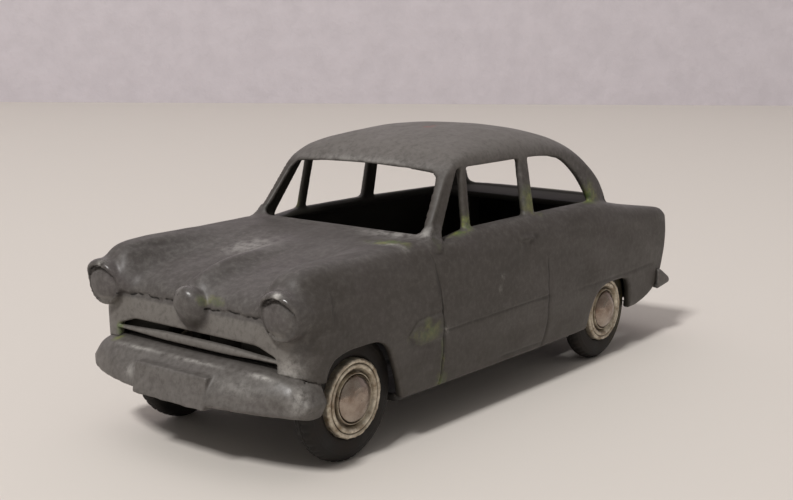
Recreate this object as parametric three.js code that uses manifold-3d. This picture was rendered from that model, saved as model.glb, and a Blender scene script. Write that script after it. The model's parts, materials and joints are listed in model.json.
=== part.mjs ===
// A 1:43 diecast saloon car: a hollow cast shell without glazing, two bumper castings, a base plate
// held by two rivets, and four rubber-tyred wheels on two axles that turn freely.
//
// Millimetres, +Z up, the car's nose towards -X and its left side towards -Y. The tyres stand on
// z = 0 and the origin is under the middle of the overall length.

import * as THREE from 'three';
import { mergeVertices } from 'three/addons/utils/BufferGeometryUtils.js';
import Module from 'manifold-3d';

const wasm = await Module();
wasm.setup();

// ---- Driving dimensions ------------------------------------------------------------------------

const GAP = 0.3; // clearance between neighbouring castings
const WALL = 1.2; // thickness of the cast shell

const FRONT_AXLE_X = -33.3;
const REAR_AXLE_X = 24.5;
const AXLE_PLAY = 0.85; // how far both loose axles lie over to the left
const AXLE_RADIUS = 1.0;
const AXLE_HALF_LENGTH = 14.25;
const AXLE_BORE = AXLE_RADIUS + GAP;

const TYRE_RADIUS = 7.6; // also the height of the axles above the ground
const HALF_TRACK = 13.35; // from the axle's middle to the middle of a tyre
const ARCH_INNER_Y = 12.4; // the wheel arches cut this far in
const HUB_RADIUS = 4.65;
const HUB_FACE = 1.9; // outwards from the middle of the tyre
const CAP_RADIUS = 2.75;

const CROWN_Y = 14.3; // the wing crowns and the belt line run at this half-width
const SHOULDER_Z = 19; // the shoulders round over from here up to the crowns
const SILL_Z = 5.95;
const SHELF_Z = 23.7; // the parcel shelf behind the cabin's well
const PANEL_X = -43.0; // the upright front panel between the headlamps
const SLOT_HALF = 13.1; // the grille slot, from the bumper's top to its own arched top edge
const SLOT_TOP = 14.6;
const BUMPER_JOINT_Z = 12.5;

const LAMP = { x: -44.6, y: 14.5, z: 18.7, radius: 2.75, disc: 2.0, root: -38 };

const BASE_LOW = 4.9; // the base plate's underside
const BASE_HIGH = 5.9;
const BASE_HALF_WIDTH = 15.2;
const BASE_WAIST = 10.5; // half-width between the tyres
const RIVET_X = [-37.4, 35.0];
const RIVET_HEAD = { radius: 1.8, low: 5.05, high: 5.55 };
const RIVET_SHANK = { radius: 1.0, top: 11.0 };
const TONGUE = { low: 6.9, high: 7.7, half: 3.6 }; // the bumpers' tongues, clamped over the base plate
const POST = { radius: 2.2, low: 8.0 };
const SADDLE_Y = 8.5; // where the base plate's saddles carry the axles

// ---- Profile curves ----------------------------------------------------------------------------

/** A smooth curve through hand-placed [distance, value] points, held level beyond both ends. */
function profile(points) {
  const last = points.length - 1;
  const slopes = points.map((_, i) => {
    const before = points[Math.max(i - 1, 0)];
    const after = points[Math.min(i + 1, last)];
    return (after[1] - before[1]) / (after[0] - before[0]);
  });
  return (at) => {
    if (at <= points[0][0]) return points[0][1];
    if (at >= points[last][0]) return points[last][1];
    const i = points.findIndex((point) => point[0] > at) - 1;
    const span = points[i + 1][0] - points[i][0];
    const t = (at - points[i][0]) / span;
    const ease = t * t * (3 - 2 * t);
    return (
      points[i][1] * (1 - ease) +
      points[i + 1][1] * ease +
      span * t * (1 - t) * (slopes[i] * (1 - t) - slopes[i + 1] * t)
    );
  };
}

// Height of the bonnet, and behind the cabin of the boot, near the car's middle.
const deckHeight = profile([
  [-44, 18.2], [-43, 18.9], [-42, 19.6], [-40, 20.4], [-36, 21.3], [-32, 22.0], [-28, 22.8],
  [-24, 23.4], [-18, 23.8], [24, 24.0], [29, 23.5], [33, 22.5], [37, 21.7], [41, 20.8], [45.5, 19.0],
]);
// How far the spine along the bonnet's middle stands above it.
const spineHeight = profile([[-44, 0.3], [-42, 0.9], [-38, 1.1], [-34, 0.9], [-30, 0.4], [-25, 0]]);
// Height of the wing crowns and of the belt line between them.
const crownHeight = profile([
  [-44.4, 22.0], [-43.5, 22.4], [-41.3, 23.1], [-39, 23.45], [-33, 23.6], [-18, 23.8], [-6, 24.0],
  [12, 24.0], [22, 23.7], [28, 23.0], [32, 22.3], [38, 21.4], [43.4, 20.7], [45.5, 19.8],
]);
// Half-width of the body along its length, and how it draws in below and above the doors' middle.
const planHalfWidth = profile([
  [-44, 16.5], [-42, 16.95], [-38, 17.3], [-30, 17.4], [15, 17.4], [28, 17.1], [36, 16.6], [45.5, 15.8],
]);
const sideTuck = profile([[2, -0.9], [6, -0.45], [8, -0.15], [11, 0], [14, 0.05], [16.5, -0.05], [19, -0.35]]);

// Height of the windscreen, roof and back along the car's middle.
const roofHeight = profile([
  [-19.9, 22.2], [-18.1, 24.2], [-15.3, 28.0], [-12.9, 31.4], [-11.6, 32.7], [-8.8, 34.2], [-4.5, 35.15],
  [0, 35.55], [5, 35.7], [11, 35.3], [16, 34.5], [20, 33.3], [24, 30.9], [27, 28.3], [30, 25.2], [32.6, 22.0],
]);
const roofShoulder = profile([[-18, 0.5], [-13, 0.7], [-10, 1.5], [-7.5, 2.4], [-3, 3.6], [5, 4.1], [20, 4.0], [29, 3.0]]);
const cabinTaper = profile([
  [-19, 0.2], [-10, 0], [6, 0], [14, 0.2], [21, 0.5], [25, 0.8], [27, 1.2], [29, 1.9], [31, 2.9], [33, 4.0],
]);
const CABIN_HALF_WIDTH = 14.65; // at the belt line
const CABIN_LEAN = 0.17; // the side windows lean in by this much for each unit of height

// The bumpers' edges over the half-width: X of the lip, crease and underside, and height of the front one's top.
const frontLip = profile([[0, -47.2], [6, -47.0], [10.5, -46.2], [14, -45.0], [16, -43.9], [17.3, -42.6]]);
const frontCrease = profile([[0, -44.3], [8, -44.2], [13, -43.7], [16, -43.0], [17.3, -42.2]]);
const frontUnder = profile([[0, -45.2], [6, -44.8], [12, -43.8], [15, -42.9], [17.3, -41.8]]);
const frontBack = profile([[15.6, -41.9], [16.3, -39.8]]);
const frontTop = profile([[0, 12.2], [13, 12.2], [15.5, 11.9], [17.3, 10.9]]);
const rearLip = profile([[0, 47.2], [8, 47.1], [12, 46.7], [14.6, 46.0], [16.7, 44.7]]);
const rearCrease = profile([[0, 44.8], [10, 44.4], [13, 43.6], [15, 42.6], [16.7, 41.4]]);
const BUMPER_HALF = { front: 17.3, rear: 16.8 };

// ---- Solids ------------------------------------------------------------------------------------

/** A three.js geometry as a closed solid, its shared corners merged and its faces turned outwards. */
function solid(geometry) {
  const bare = geometry.index ? geometry.toNonIndexed() : geometry.clone();
  bare.deleteAttribute('normal');
  bare.deleteAttribute('uv');
  const merged = mergeVertices(bare, 1e-4);
  const vertProperties = new Float32Array(merged.attributes.position.array);
  const triVerts = new Uint32Array(merged.index.array);
  const body = new wasm.Manifold(new wasm.Mesh({ numProp: 3, vertProperties, triVerts }));
  if (body.volume() > 0) return body;
  return new wasm.Manifold(new wasm.Mesh({ numProp: 3, vertProperties, triVerts: triVerts.reverse() }));
}

/** A solid's surface as a three.js geometry. */
function surface(body) {
  const mesh = body.getMesh();
  const geometry = new THREE.BufferGeometry();
  geometry.setAttribute('position', new THREE.BufferAttribute(mesh.vertProperties.slice(), 3));
  geometry.setIndex(new THREE.BufferAttribute(mesh.triVerts.slice(), 1));
  return geometry;
}

/** A rectangular block between two corners. */
function block([x0, y0, z0], [x1, y1, z1]) {
  const box = new THREE.BoxGeometry(x1 - x0, y1 - y0, z1 - z0);
  box.translate((x0 + x1) / 2, (y0 + y1) / 2, (z0 + z1) / 2);
  return solid(box);
}

/** A closed outline of [a, b] points as a three.js shape. */
const outline = (points) => new THREE.Shape(points.map(([a, b]) => new THREE.Vector2(a, b)));

/** An outline drawn in X and Z, extruded across the car from y0 to y1. */
function across(shape, y0, y1) {
  const prism = new THREE.ExtrudeGeometry(shape, { depth: y1 - y0, bevelEnabled: false, steps: 1 });
  prism.rotateX(Math.PI / 2);
  prism.translate(0, y1, 0);
  return solid(prism);
}

/** An outline drawn in Y and Z, extruded along the car from x0 to x1. */
function along(shape, x0, x1) {
  const prism = new THREE.ExtrudeGeometry(shape, { depth: x1 - x0, bevelEnabled: false, steps: 1 });
  prism.applyMatrix4(new THREE.Matrix4().set(0, 0, 1, x0, 1, 0, 0, 0, 0, 1, 0, 0, 0, 0, 0, 1));
  return solid(prism);
}

/** An outline drawn in X and Y, extruded upwards from z0 to z1. */
function upward(shape, z0, z1) {
  const prism = new THREE.ExtrudeGeometry(shape, { depth: z1 - z0, bevelEnabled: false, steps: 1 });
  prism.translate(0, 0, z0);
  return solid(prism);
}

/** An upright cylinder. */
function pillar(x, y, radius, z0, z1, sides = 20) {
  const cylinder = new THREE.CylinderGeometry(radius, radius, z1 - z0, sides);
  cylinder.rotateX(Math.PI / 2);
  cylinder.translate(x, y, (z0 + z1) / 2);
  return solid(cylinder);
}

/** A cylinder lying along X. */
function barrel(x0, x1, y, z, radius, sides = 20) {
  const cylinder = new THREE.CylinderGeometry(radius, radius, x1 - x0, sides);
  cylinder.rotateZ(Math.PI / 2);
  cylinder.translate((x0 + x1) / 2, y, z);
  return solid(cylinder);
}

/**
 * A capped skin through rings of [p, q] points, one ring for each station. A cylinder's walls are
 * drawn out to the rings, and place() turns a station and its [p, q] into a point of the car.
 */
function loft(stations, ringAt, place) {
  const rings = stations.map(ringAt);
  const corners = rings[0].length;
  const steps = stations.length - 1;
  const skin = new THREE.CylinderGeometry(1, 1, steps, corners, steps);
  const at = skin.attributes.position;
  for (let v = 0; v < at.count; v++) {
    const step = Math.round(at.getY(v) + steps / 2);
    const ring = rings[step];
    const onAxis = Math.hypot(at.getX(v), at.getZ(v)) < 0.5;
    const turn = Math.atan2(at.getX(v), at.getZ(v)) / (2 * Math.PI);
    const corner = (Math.round(turn * corners) + corners) % corners;
    const middle = [0, 1].map((k) => ring.reduce((sum, point) => sum + point[k], 0) / corners);
    const [p, q] = onAxis ? middle : ring[corner];
    at.setXYZ(v, ...place(stations[step], p, q));
  }
  return solid(skin);
}

/** A half section, given from its top middle round to its bottom middle, closed on both sides. */
function mirrored(half) {
  const left = half.map(([y, z]) => [-y, z]);
  return [...left, ...half.slice(1, -1).reverse()];
}

// ---- The cast shell ----------------------------------------------------------------------------

const BODY_STATIONS = [
  -44, -43.1, -42, -40.5, -38.5, -36, -33, -29, -24, -18, -8, 6, 18, 26, 30, 34, 38, 41.5, 44, 45.6,
];
const TOP_STEPS = [0, 0.9, 1.9, 3.4, 6, 8.5, 10.5, 12.2, 13.3];
const SIDE_STEPS = [16.5, 13.5, 10, 7, 4.5];

/** Height of the lower body's top surface, with its spine and wings. */
function topHeight(x, y) {
  const deck = deckHeight(x);
  const wing = THREE.MathUtils.smoothstep(Math.abs(y), 7.5, 13.3);
  const spine = spineHeight(x) * Math.exp(-((y / 1.7) ** 2));
  return deck + spine + (crownHeight(x) - deck) * wing;
}

/** The lower body's cross-section, drawn in by inset. */
function bodySection(x, inset) {
  const crown = CROWN_Y - inset / 2;
  const top = TOP_STEPS.map((y) => [(y * crown) / CROWN_Y, topHeight(x, y) - inset]);
  const shoulderY = planHalfWidth(x) + sideTuck(SHOULDER_Z) - inset;
  const crownZ = crownHeight(x) - inset;
  const shoulderZ = Math.min(SHOULDER_Z, crownZ - 1) - inset / 2;
  const round = [0, 30, 60, 90].map((degrees) => {
    const angle = THREE.MathUtils.degToRad(degrees);
    const reach = crown + (shoulderY - crown) * Math.sin(angle);
    return [reach, shoulderZ + (crownZ - shoulderZ) * Math.cos(angle)];
  });
  const side = SIDE_STEPS.map((z) => [planHalfWidth(x) + sideTuck(z) - inset, z]);
  const floor = inset ? -1 : SIDE_STEPS.at(-1);
  side[side.length - 1][1] = floor;
  return mirrored([...top, ...round, ...side, [0, floor]]);
}

/** The cabin's cross-section, drawn in by inset. */
function cabinSection(x, inset) {
  const top = roofHeight(x) - inset;
  const low = inset ? SHELF_Z : SHELF_Z - 3.5;
  const shoulder = Math.min(roofShoulder(x), 0.8 * (top - low));
  const eaves = top - shoulder;
  const halfWidth = (z) => CABIN_HALF_WIDTH - inset - cabinTaper(x) - CABIN_LEAN * (z - 24);
  const roof = [0, 16, 32, 48, 62, 76, 90].map((degrees) => {
    const angle = THREE.MathUtils.degToRad(degrees);
    return [halfWidth(eaves) * Math.sin(angle) ** 0.8, eaves + shoulder * Math.cos(angle) ** 0.8];
  });
  return mirrored([...roof, [halfWidth((eaves + low) / 2), (eaves + low) / 2], [halfWidth(low), low], [0, low]]);
}

const lengthways = (x, y, z) => [x, y, z];

/** The body's plan, its front and rear corners rounded. */
function planOutline() {
  const [front, tail, half, cornerFront, cornerTail] = [-43.4, 45.7, 17.5, 4.6, 3.0];
  const plan = new THREE.Shape();
  plan.moveTo(front, half - cornerFront);
  plan.lineTo(front, cornerFront - half);
  plan.quadraticCurveTo(front, 0.5 - half, front + cornerFront, -half);
  plan.lineTo(tail - cornerTail, -half);
  plan.lineTo(tail - cornerTail, 1.3 - half);
  plan.quadraticCurveTo(tail, 1.6 - half, tail, 5.0 - half);
  plan.lineTo(tail, half - 5.0);
  plan.quadraticCurveTo(tail, half - 1.6, tail - cornerTail, half - 1.3);
  plan.lineTo(tail - cornerTail, half);
  plan.lineTo(front + cornerFront, half);
  plan.quadraticCurveTo(front, half - 0.5, front, half - cornerFront);
  return new THREE.Shape(plan.getPoints(5));
}

/** The car's side silhouette below the belt: front panel, sills, skirts, tail. */
const SILHOUETTE = [
  [PANEL_X, 12.4], [PANEL_X, 17.5], [-43.4, 18.1], [-43.6, 19.2], [-43.5, 20.4], [-43.1, 21.6],
  [-42, 26], [41, 26], [43.4, 21.7], [44.9, 20.4], [45.6, 18.9], [45.65, 17.0], [45.3, 15.0],
  [44.7, 12.9], [43.9, 10.8], [42.5, 8.9], [40, 7.7], [36.5, 6.9], [33.4, 6.6], [31, 6.7],
  [18, SILL_Z], [-26.3, SILL_Z], [-30, 6.6], [-38, 7.7], [-42.6, 8.0],
];
const FRONT_ARCH = [
  [-39.4, 4], [-39.4, 9], [-39.4, 10.9], [-39.1, 12.2], [-38.2, 13.3], [-36.2, 13.9], [-33.4, 14.05],
  [-30.8, 13.95], [-29.5, 13.6], [-28.5, 12.8], [-27.6, 11.4], [-26.8, 9.2], [-26.1, 7.2], [-25.7, 6.1], [-25.7, 4],
];
const REAR_ARCH = [
  [17.5, 4], [17.6, 6.4], [18.2, 8.6], [19.4, 10.3], [21, 11.4], [23, 11.9], [26.4, 11.95],
  [28.6, 11.8], [29.8, 11.3], [30.5, 10.3], [30.8, 8.2], [31.1, 6.9], [31.2, 4],
];

// Side windows, each opening's corners in X and Z.
const VENT_WINDOW = [[-15.3, 23.8], [-9.9, 24.0], [-9.3, 31.5], [-10.2, 31.4]];
const DOOR_WINDOW = [[-8.7, 24.0], [4.1, 24.1], [4.2, 31.7], [-8.2, 31.6]];
const QUARTER_WINDOW = [
  [6.5, 24.1], [23.2, 23.9], [22.5, 25.0], [20.9, 26.9], [18.4, 29.0], [15.4, 30.7], [11.5, 31.5], [6.3, 31.6],
];
// Windscreen and back window, each opening's corners in Y and Z.
const WINDSCREEN = [
  [-13.35, 24.0], [13.35, 24.0], [12.1, 30.8], [11.4, 31.4], [0, 31.8], [-11.4, 31.4], [-12.1, 30.8],
];
const BACK_WINDOW = [
  [-11.9, 23.9], [11.9, 23.9], [12.3, 24.7], [10.7, 29.2], [9.3, 30.0], [0, 30.4], [-9.3, 30.0], [-10.7, 29.2],
  [-12.3, 24.7],
];

/** A headlamp pod with its recessed disc and the peak of its hood. */
function lampPod(side) {
  const { x, z, radius, disc, root } = LAMP;
  const y = side * LAMP.y;
  const pod = barrel(x, root, y, z, radius, 24);
  const face = outline([[x - 1, z - 4], [x - 1, z + 2.6], [x, z + 2.2], [x + 0.6, z - 1], [x + 0.6, z - 4]]);
  const recess = barrel(x - 1, x + 0.9, y, z - 0.1, disc + 0.25, 20);
  const lens = barrel(x + 0.6, x + 1.2, y, z - 0.1, disc, 20);
  return pod.subtract(across(face, y - 4, y + 4)).subtract(recess).add(lens);
}

/** The rounded bulb on the front panel, below the bonnet's spine. */
function noseBulb() {
  const bulb = new THREE.SphereGeometry(1, 14, 10);
  bulb.scale(1.7, 2.3, 2.6);
  bulb.translate(PANEL_X + 0.2, 0, 17.5);
  return solid(bulb);
}

function bodyShell() {
  const silhouette = across(outline(SILHOUETTE), -20, 20);
  const lower = loft(BODY_STATIONS, (x) => bodySection(x, 0), lengthways)
    .intersect(silhouette)
    .intersect(upward(planOutline(), 0, 30));
  const cabinStations = [
    -19.9, -18.1, -16.6, -15, -13.6, -12.4, -10.8, -8.8, -5.5, 0, 5, 10, 14, 17.5, 20.5, 23, 25.5, 28, 30.2, 32.4,
  ];
  const cabin = loft(cabinStations, (x) => cabinSection(x, 0), lengthways);

  const hollowStations = [PANEL_X + WALL, -40.5, -37.5, -33, -28, -22, -12, 6, 20, 28, 33, 38, 41.6];
  const hollow = loft(hollowStations, (x) => bodySection(x, WALL), lengthways);
  const cabinHollow = loft(
    [-16.8, -15.3, -13.6, -12.4, -10.8, -8.8, -5.5, 0, 5, 10, 14, 17.5, 20.5, 23, 25.5, 28, 29.8],
    (x) => cabinSection(x, WALL),
    lengthways,
  );
  const well = upward(outline([[-17, -13.3], [21.6, -13.3], [21.6, 13.3], [-17, 13.3]]), 20, 25);

  let shell = lower.add(cabin).add(lampPod(-1)).add(lampPod(1)).add(noseBulb());
  shell = shell.subtract(hollow).subtract(cabinHollow).subtract(well);

  for (const window of [VENT_WINDOW, DOOR_WINDOW, QUARTER_WINDOW]) {
    shell = shell.subtract(across(outline(window), -20, 20));
  }
  shell = shell.subtract(along(outline(WINDSCREEN), -22, -5)).subtract(along(outline(BACK_WINDOW), 16, 34));
  for (const side of [-1, 1]) {
    const edge = side > 0 ? [ARCH_INNER_Y, 20] : [-20, -ARCH_INNER_Y];
    shell = shell.subtract(across(outline(FRONT_ARCH), ...edge)).subtract(across(outline(REAR_ARCH), ...edge));
  }

  const slot = outline([
    [-SLOT_HALF, 12], [SLOT_HALF, 12], [SLOT_HALF, 13.7], [SLOT_HALF - 0.7, 14.4], [SLOT_HALF - 2.4, SLOT_TOP],
    [2.4 - SLOT_HALF, SLOT_TOP], [0.7 - SLOT_HALF, 14.4], [-SLOT_HALF, 13.7],
  ]);
  shell = shell.subtract(along(slot, -46, -40.9));
  shell = shell.add(block([PANEL_X + 0.2, -13.2, 13.0], [PANEL_X + 0.9, 13.2, 13.9]));

  const frontRoom = frontBumperBlade(GAP).add(block([-46, -15.4, 3], [-41.4, 15.4, BUMPER_JOINT_Z]));
  const rearRoom = rearBumperBlade(GAP).add(block([42.2, -5, 3], [47, 5, 9.5]));
  shell = shell.subtract(frontRoom).subtract(rearRoom);

  for (const x of RIVET_X) {
    const roofOver = topHeight(x, 2) - WALL / 2;
    shell = shell.add(pillar(x, 0, POST.radius, POST.low, roofOver));
    shell = shell.subtract(pillar(x, 0, RIVET_SHANK.radius + GAP, POST.low - 1, RIVET_SHANK.top + 0.5, 16));
  }
  for (const x of [FRONT_AXLE_X, REAR_AXLE_X]) {
    for (const side of [-1, 1]) {
      const y = side * SADDLE_Y;
      const ribLow = TYRE_RADIUS + AXLE_RADIUS + 0.7;
      shell = shell.add(block([x - 1.5, y - 0.8, ribLow], [x + 1.5, y + 0.8, topHeight(x, y) - WALL / 2]));
    }
  }
  return shell;
}

// ---- Bumpers -----------------------------------------------------------------------------------

const BUMPER_STATIONS = [-1, -0.95, -0.9, -0.83, -0.7, -0.5, -0.25, 0, 0.25, 0.5, 0.7, 0.83, 0.9, 0.95, 1];

/** The front bumper's wedge-shaped blade, whose ends wrap back round the wings, made larger by grow. */
function frontBumperBlade(grow) {
  const half = BUMPER_HALF.front + grow;
  return loft(
    BUMPER_STATIONS.map((part) => part * half),
    (y) => {
      const reach = Math.abs(y);
      const back = frontBack(reach + grow) + grow;
      const top = frontTop(reach);
      return [
        [back, top + grow], [frontCrease(reach) + 0.5, top + grow], [frontCrease(reach) - grow, top - 0.4 + grow],
        [frontLip(reach) - grow, 8.8], [frontLip(reach) + 0.1 - grow, 8.0],
        [frontUnder(reach), 7.3 - grow], [back, 7.3 - grow],
      ];
    },
    (y, x, z) => [x, y, z],
  );
}

/** The rear bumper's blade, shallower than the front one. */
function rearBumperBlade(grow) {
  const half = BUMPER_HALF.rear + grow;
  return loft(
    BUMPER_STATIONS.map((part) => part * half),
    (y) => {
      const reach = Math.abs(y);
      const back = rearCrease(reach) - 0.9 - grow;
      return [
        [rearCrease(reach), 11.2 + grow], [back, 11.2 + grow], [back, 8.1 - grow],
        [rearCrease(reach) + 0.4, 8.1 - grow], [rearLip(reach) + grow, 8.6 - grow], [rearLip(reach) + grow, 9.4],
      ];
    },
    (y, x, z) => [x, y, z],
  );
}

function frontBumper() {
  const plate = block([-47.1, -5.9, 7.9], [-44.6, 5.9, 11.1]);
  const tongue = block([-43.4, -TONGUE.half, TONGUE.low], [RIVET_X[0] + 2.2, TONGUE.half, TONGUE.high]);
  const hole = pillar(RIVET_X[0], 0, RIVET_SHANK.radius + GAP, 6, 9, 16);
  return frontBumperBlade(0).add(plate).add(tongue).subtract(hole);
}

function rearBumper() {
  const tongue = block([RIVET_X[1] - 2.2, -TONGUE.half, TONGUE.low], [45.2, TONGUE.half, TONGUE.high]);
  const foot = block([43.9, -TONGUE.half, TONGUE.low], [45.2, TONGUE.half, 8.4]);
  const hole = pillar(RIVET_X[1], 0, RIVET_SHANK.radius + GAP, 6, 9, 16);
  return rearBumperBlade(0).add(tongue).add(foot).subtract(hole);
}

// ---- Base plate, rivets and running gear -------------------------------------------------------

function basePlate() {
  const wide = BASE_HALF_WIDTH;
  const waist = BASE_WAIST;
  const half = [
    [-39.8, 4], [-38.6, 7], [-37.4, waist], [-25.9, waist], [-24.7, waist + 1.2], [-24.7, wide - 0.8],
    [-23.9, wide], [15.1, wide], [15.9, wide - 0.8], [15.9, waist + 1.2], [17.1, waist], [37.4, waist],
    [39.6, 8],
  ];
  const rim = [...half, ...half.map(([x, y]) => [x, -y]).reverse()];
  let plate = upward(outline(rim), BASE_LOW, BASE_HIGH);
  for (const x of RIVET_X) {
    plate = plate.add(pillar(x, 0, RIVET_HEAD.radius + 0.9, BASE_LOW + 0.5, BASE_HIGH + 0.6));
    plate = plate.subtract(pillar(x, 0, RIVET_HEAD.radius + GAP, BASE_LOW - 1, RIVET_HEAD.high + GAP));
    plate = plate.subtract(pillar(x, 0, RIVET_SHANK.radius + GAP, BASE_LOW - 1, BASE_HIGH + 2, 16));
  }
  for (const x of [FRONT_AXLE_X, REAR_AXLE_X]) {
    for (const side of [-1, 1]) {
      const y = side * SADDLE_Y;
      plate = plate.add(block([x - 2.4, y - 1, BASE_LOW + 0.5], [x + 2.4, y + 1, TYRE_RADIUS + 1.2]));
    }
    const groove = new THREE.CylinderGeometry(AXLE_BORE, AXLE_BORE, 40, 16);
    groove.translate(x, 0, TYRE_RADIUS);
    const way = block([x - AXLE_BORE, -20, TYRE_RADIUS], [x + AXLE_BORE, 20, TYRE_RADIUS + 3]);
    plate = plate.subtract(solid(groove)).subtract(way);
  }
  return plate;
}

/** A drive rivet: a flat head below and a round shank up into the shell's post. */
function rivet() {
  const { radius, low, high } = RIVET_HEAD;
  const points = [
    [0, low], [radius - 0.15, low], [radius, low + 0.15], [radius, high], [RIVET_SHANK.radius, high],
    [RIVET_SHANK.radius, RIVET_SHANK.top - 0.3], [RIVET_SHANK.radius - 0.3, RIVET_SHANK.top], [0, RIVET_SHANK.top],
  ];
  const turned = new THREE.LatheGeometry(points.map(([r, z]) => new THREE.Vector2(r, z)), 16);
  turned.rotateX(Math.PI / 2);
  return turned;
}

/** A turned part of the right-hand wheel, from points of [radius, distance outwards from the tyre's middle]. */
function turnedOutwards(points, sides) {
  return new THREE.LatheGeometry(points.map(([r, y]) => new THREE.Vector2(r, HALF_TRACK + y)), sides);
}

const axle = () => new THREE.CylinderGeometry(AXLE_RADIUS, AXLE_RADIUS, 2 * AXLE_HALF_LENGTH, 16);

const tyre = () =>
  turnedOutwards(
    [
      [4.2, 0], [4.2, -1.3], [6.5, -1.3], [7.3, -0.95], [TYRE_RADIUS, -0.3],
      [TYRE_RADIUS, 0.3], [7.3, 0.9], [6.5, 1.25], [5.1, 1.25], [4.95, 0],
      [4.2, 0],
    ],
    28,
  );

const hub = () =>
  turnedOutwards(
    [
      [AXLE_BORE, 1.2], [AXLE_BORE, -1.1], [3.85, -1.1], [3.85, 0.4], [HUB_RADIUS, 0.4],
      [HUB_RADIUS, HUB_FACE - 0.3], [4.35, HUB_FACE], [4.0, HUB_FACE], [3.85, HUB_FACE - 0.35],
      [3.65, HUB_FACE], [3.35, HUB_FACE], [3.1, 1.4], [2.9, 1.2], [AXLE_BORE, 1.2],
    ],
    24,
  );

const hubCap = () =>
  turnedOutwards(
    [[0, 1.55], [CAP_RADIUS - 0.1, 1.55], [CAP_RADIUS, 1.75], [2.35, 2.3], [1.35, 2.7], [0, 2.8]],
    18,
  );

// ---- The assembly ------------------------------------------------------------------------------

const primer = new THREE.MeshStandardMaterial({ color: 0x55554f, roughness: 0.6, metalness: 0.0 });
const blackPaint = new THREE.MeshStandardMaterial({ color: 0x2b2926, roughness: 0.7, metalness: 0.0 });
const steel = new THREE.MeshStandardMaterial({ color: 0x8b8a86, roughness: 0.4, metalness: 1.0 });
const alloy = new THREE.MeshStandardMaterial({ color: 0xcfc8b6, roughness: 0.4, metalness: 1.0 });
const rubber = new THREE.MeshStandardMaterial({ color: 0x1d1c1b, roughness: 0.85, metalness: 0.0 });

const car = new THREE.Group();

/** Adds a named piece to a group. */
function add(group, name, geometry, material) {
  const mesh = new THREE.Mesh(geometry, material);
  mesh.name = name;
  group.add(mesh);
  return mesh;
}

add(car, 'body_shell', surface(bodyShell()), primer);
add(car, 'front_bumper', surface(frontBumper()), primer);
add(car, 'rear_bumper', surface(rearBumper()), primer);
add(car, 'base_plate', surface(basePlate()), blackPaint);
for (const [name, x] of [['front_rivet', RIVET_X[0]], ['rear_rivet', RIVET_X[1]]]) {
  add(car, name, rivet(), steel).position.x = x;
}

for (const [end, x] of [['front', FRONT_AXLE_X], ['rear', REAR_AXLE_X]]) {
  const wheelset = new THREE.Group();
  wheelset.position.set(x, -AXLE_PLAY, TYRE_RADIUS);
  car.add(wheelset);
  add(wheelset, `${end}_axle`, axle(), steel);
  for (const side of ['left', 'right']) {
    const wheel = new THREE.Group();
    wheel.rotation.z = side === 'left' ? Math.PI : 0;
    wheelset.add(wheel);
    add(wheel, `${end}_${side}_tyre`, tyre(), rubber);
    add(wheel, `${end}_${side}_hub`, hub(), alloy);
    add(wheel, `${end}_${side}_hub_cap`, hubCap(), alloy);
  }
}

export default car;
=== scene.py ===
"""A 1:43 diecast saloon car in worn grey primer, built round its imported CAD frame.

The castings are implicit solids in the car's own millimetres: nose towards -X, left side towards -Y,
tyres on z = 0. A net is drawn over each one, settled onto its surface, and scaled to metres.
"""

import json
import math

import bpy
import numpy as np
from mathutils import Matrix, Vector

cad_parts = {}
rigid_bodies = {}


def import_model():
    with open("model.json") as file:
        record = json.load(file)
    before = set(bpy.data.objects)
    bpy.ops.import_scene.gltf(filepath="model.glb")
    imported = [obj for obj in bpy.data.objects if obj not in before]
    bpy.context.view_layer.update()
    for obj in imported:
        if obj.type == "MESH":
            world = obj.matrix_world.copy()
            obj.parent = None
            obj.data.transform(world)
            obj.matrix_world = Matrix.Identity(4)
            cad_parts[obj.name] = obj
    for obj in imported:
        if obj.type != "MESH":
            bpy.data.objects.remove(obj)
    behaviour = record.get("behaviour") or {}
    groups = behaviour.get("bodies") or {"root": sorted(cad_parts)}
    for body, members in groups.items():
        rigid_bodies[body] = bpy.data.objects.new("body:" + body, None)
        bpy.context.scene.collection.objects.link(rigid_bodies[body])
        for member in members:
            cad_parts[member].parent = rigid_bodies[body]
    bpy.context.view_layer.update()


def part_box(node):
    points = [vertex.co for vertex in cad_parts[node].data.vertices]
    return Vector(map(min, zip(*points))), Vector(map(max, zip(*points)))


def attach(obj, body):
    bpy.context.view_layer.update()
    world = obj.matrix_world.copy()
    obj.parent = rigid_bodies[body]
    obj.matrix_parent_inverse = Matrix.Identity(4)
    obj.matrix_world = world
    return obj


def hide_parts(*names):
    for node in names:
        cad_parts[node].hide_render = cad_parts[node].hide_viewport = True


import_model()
MM = 0.001

# ---- Driving dimensions, in millimetres ----

WALL = 1.15  # thickness of the cast shell
CROWN_Y = 14.3  # half-width of the wing crowns and the belt line
SHOULDER_Z = 19.0  # the shoulders round over from here up to the crowns
BELT_Z = 24  # the line under the windows
CABIN_HALF_WIDTH = 14.65  # at the belt line
CABIN_LEAN = 0.17  # how far the cabin's sides lean in for each unit of height
CABIN_LOW = 20.2  # the cabin's form starts here, inside the body
SHELF_Z = 23.7  # the parcel shelf behind the cabin's well
SLOT_HALF, SLOT_TOP = 13.1, 14.75  # the grille slot
LAMP_X, LAMP_Y, LAMP_Z, LAMP_RADIUS = -44.6, 14.5, 18.85, 2.85  # the headlamps' faces
ARCH_INNER_Y = 12.4  # the wheel arches cut this far in
SEAT_GAP = 0.12  # round the bumpers' blades where they lie in the shell
POST_RADIUS, POST_BORE, POST_LOW = 2.2, 1.1, 8.0  # the shell's posts over the rivets
TONGUE_HALF, TONGUE_LOW, TONGUE_HIGH = 3.6, 6.9, 7.7  # the bumpers' tongues under the posts
RIVET_HOLE = 1.15  # in the tongues and the base plate
SADDLE_Y = 8.5  # where the base plate's saddles carry the axles
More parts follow.
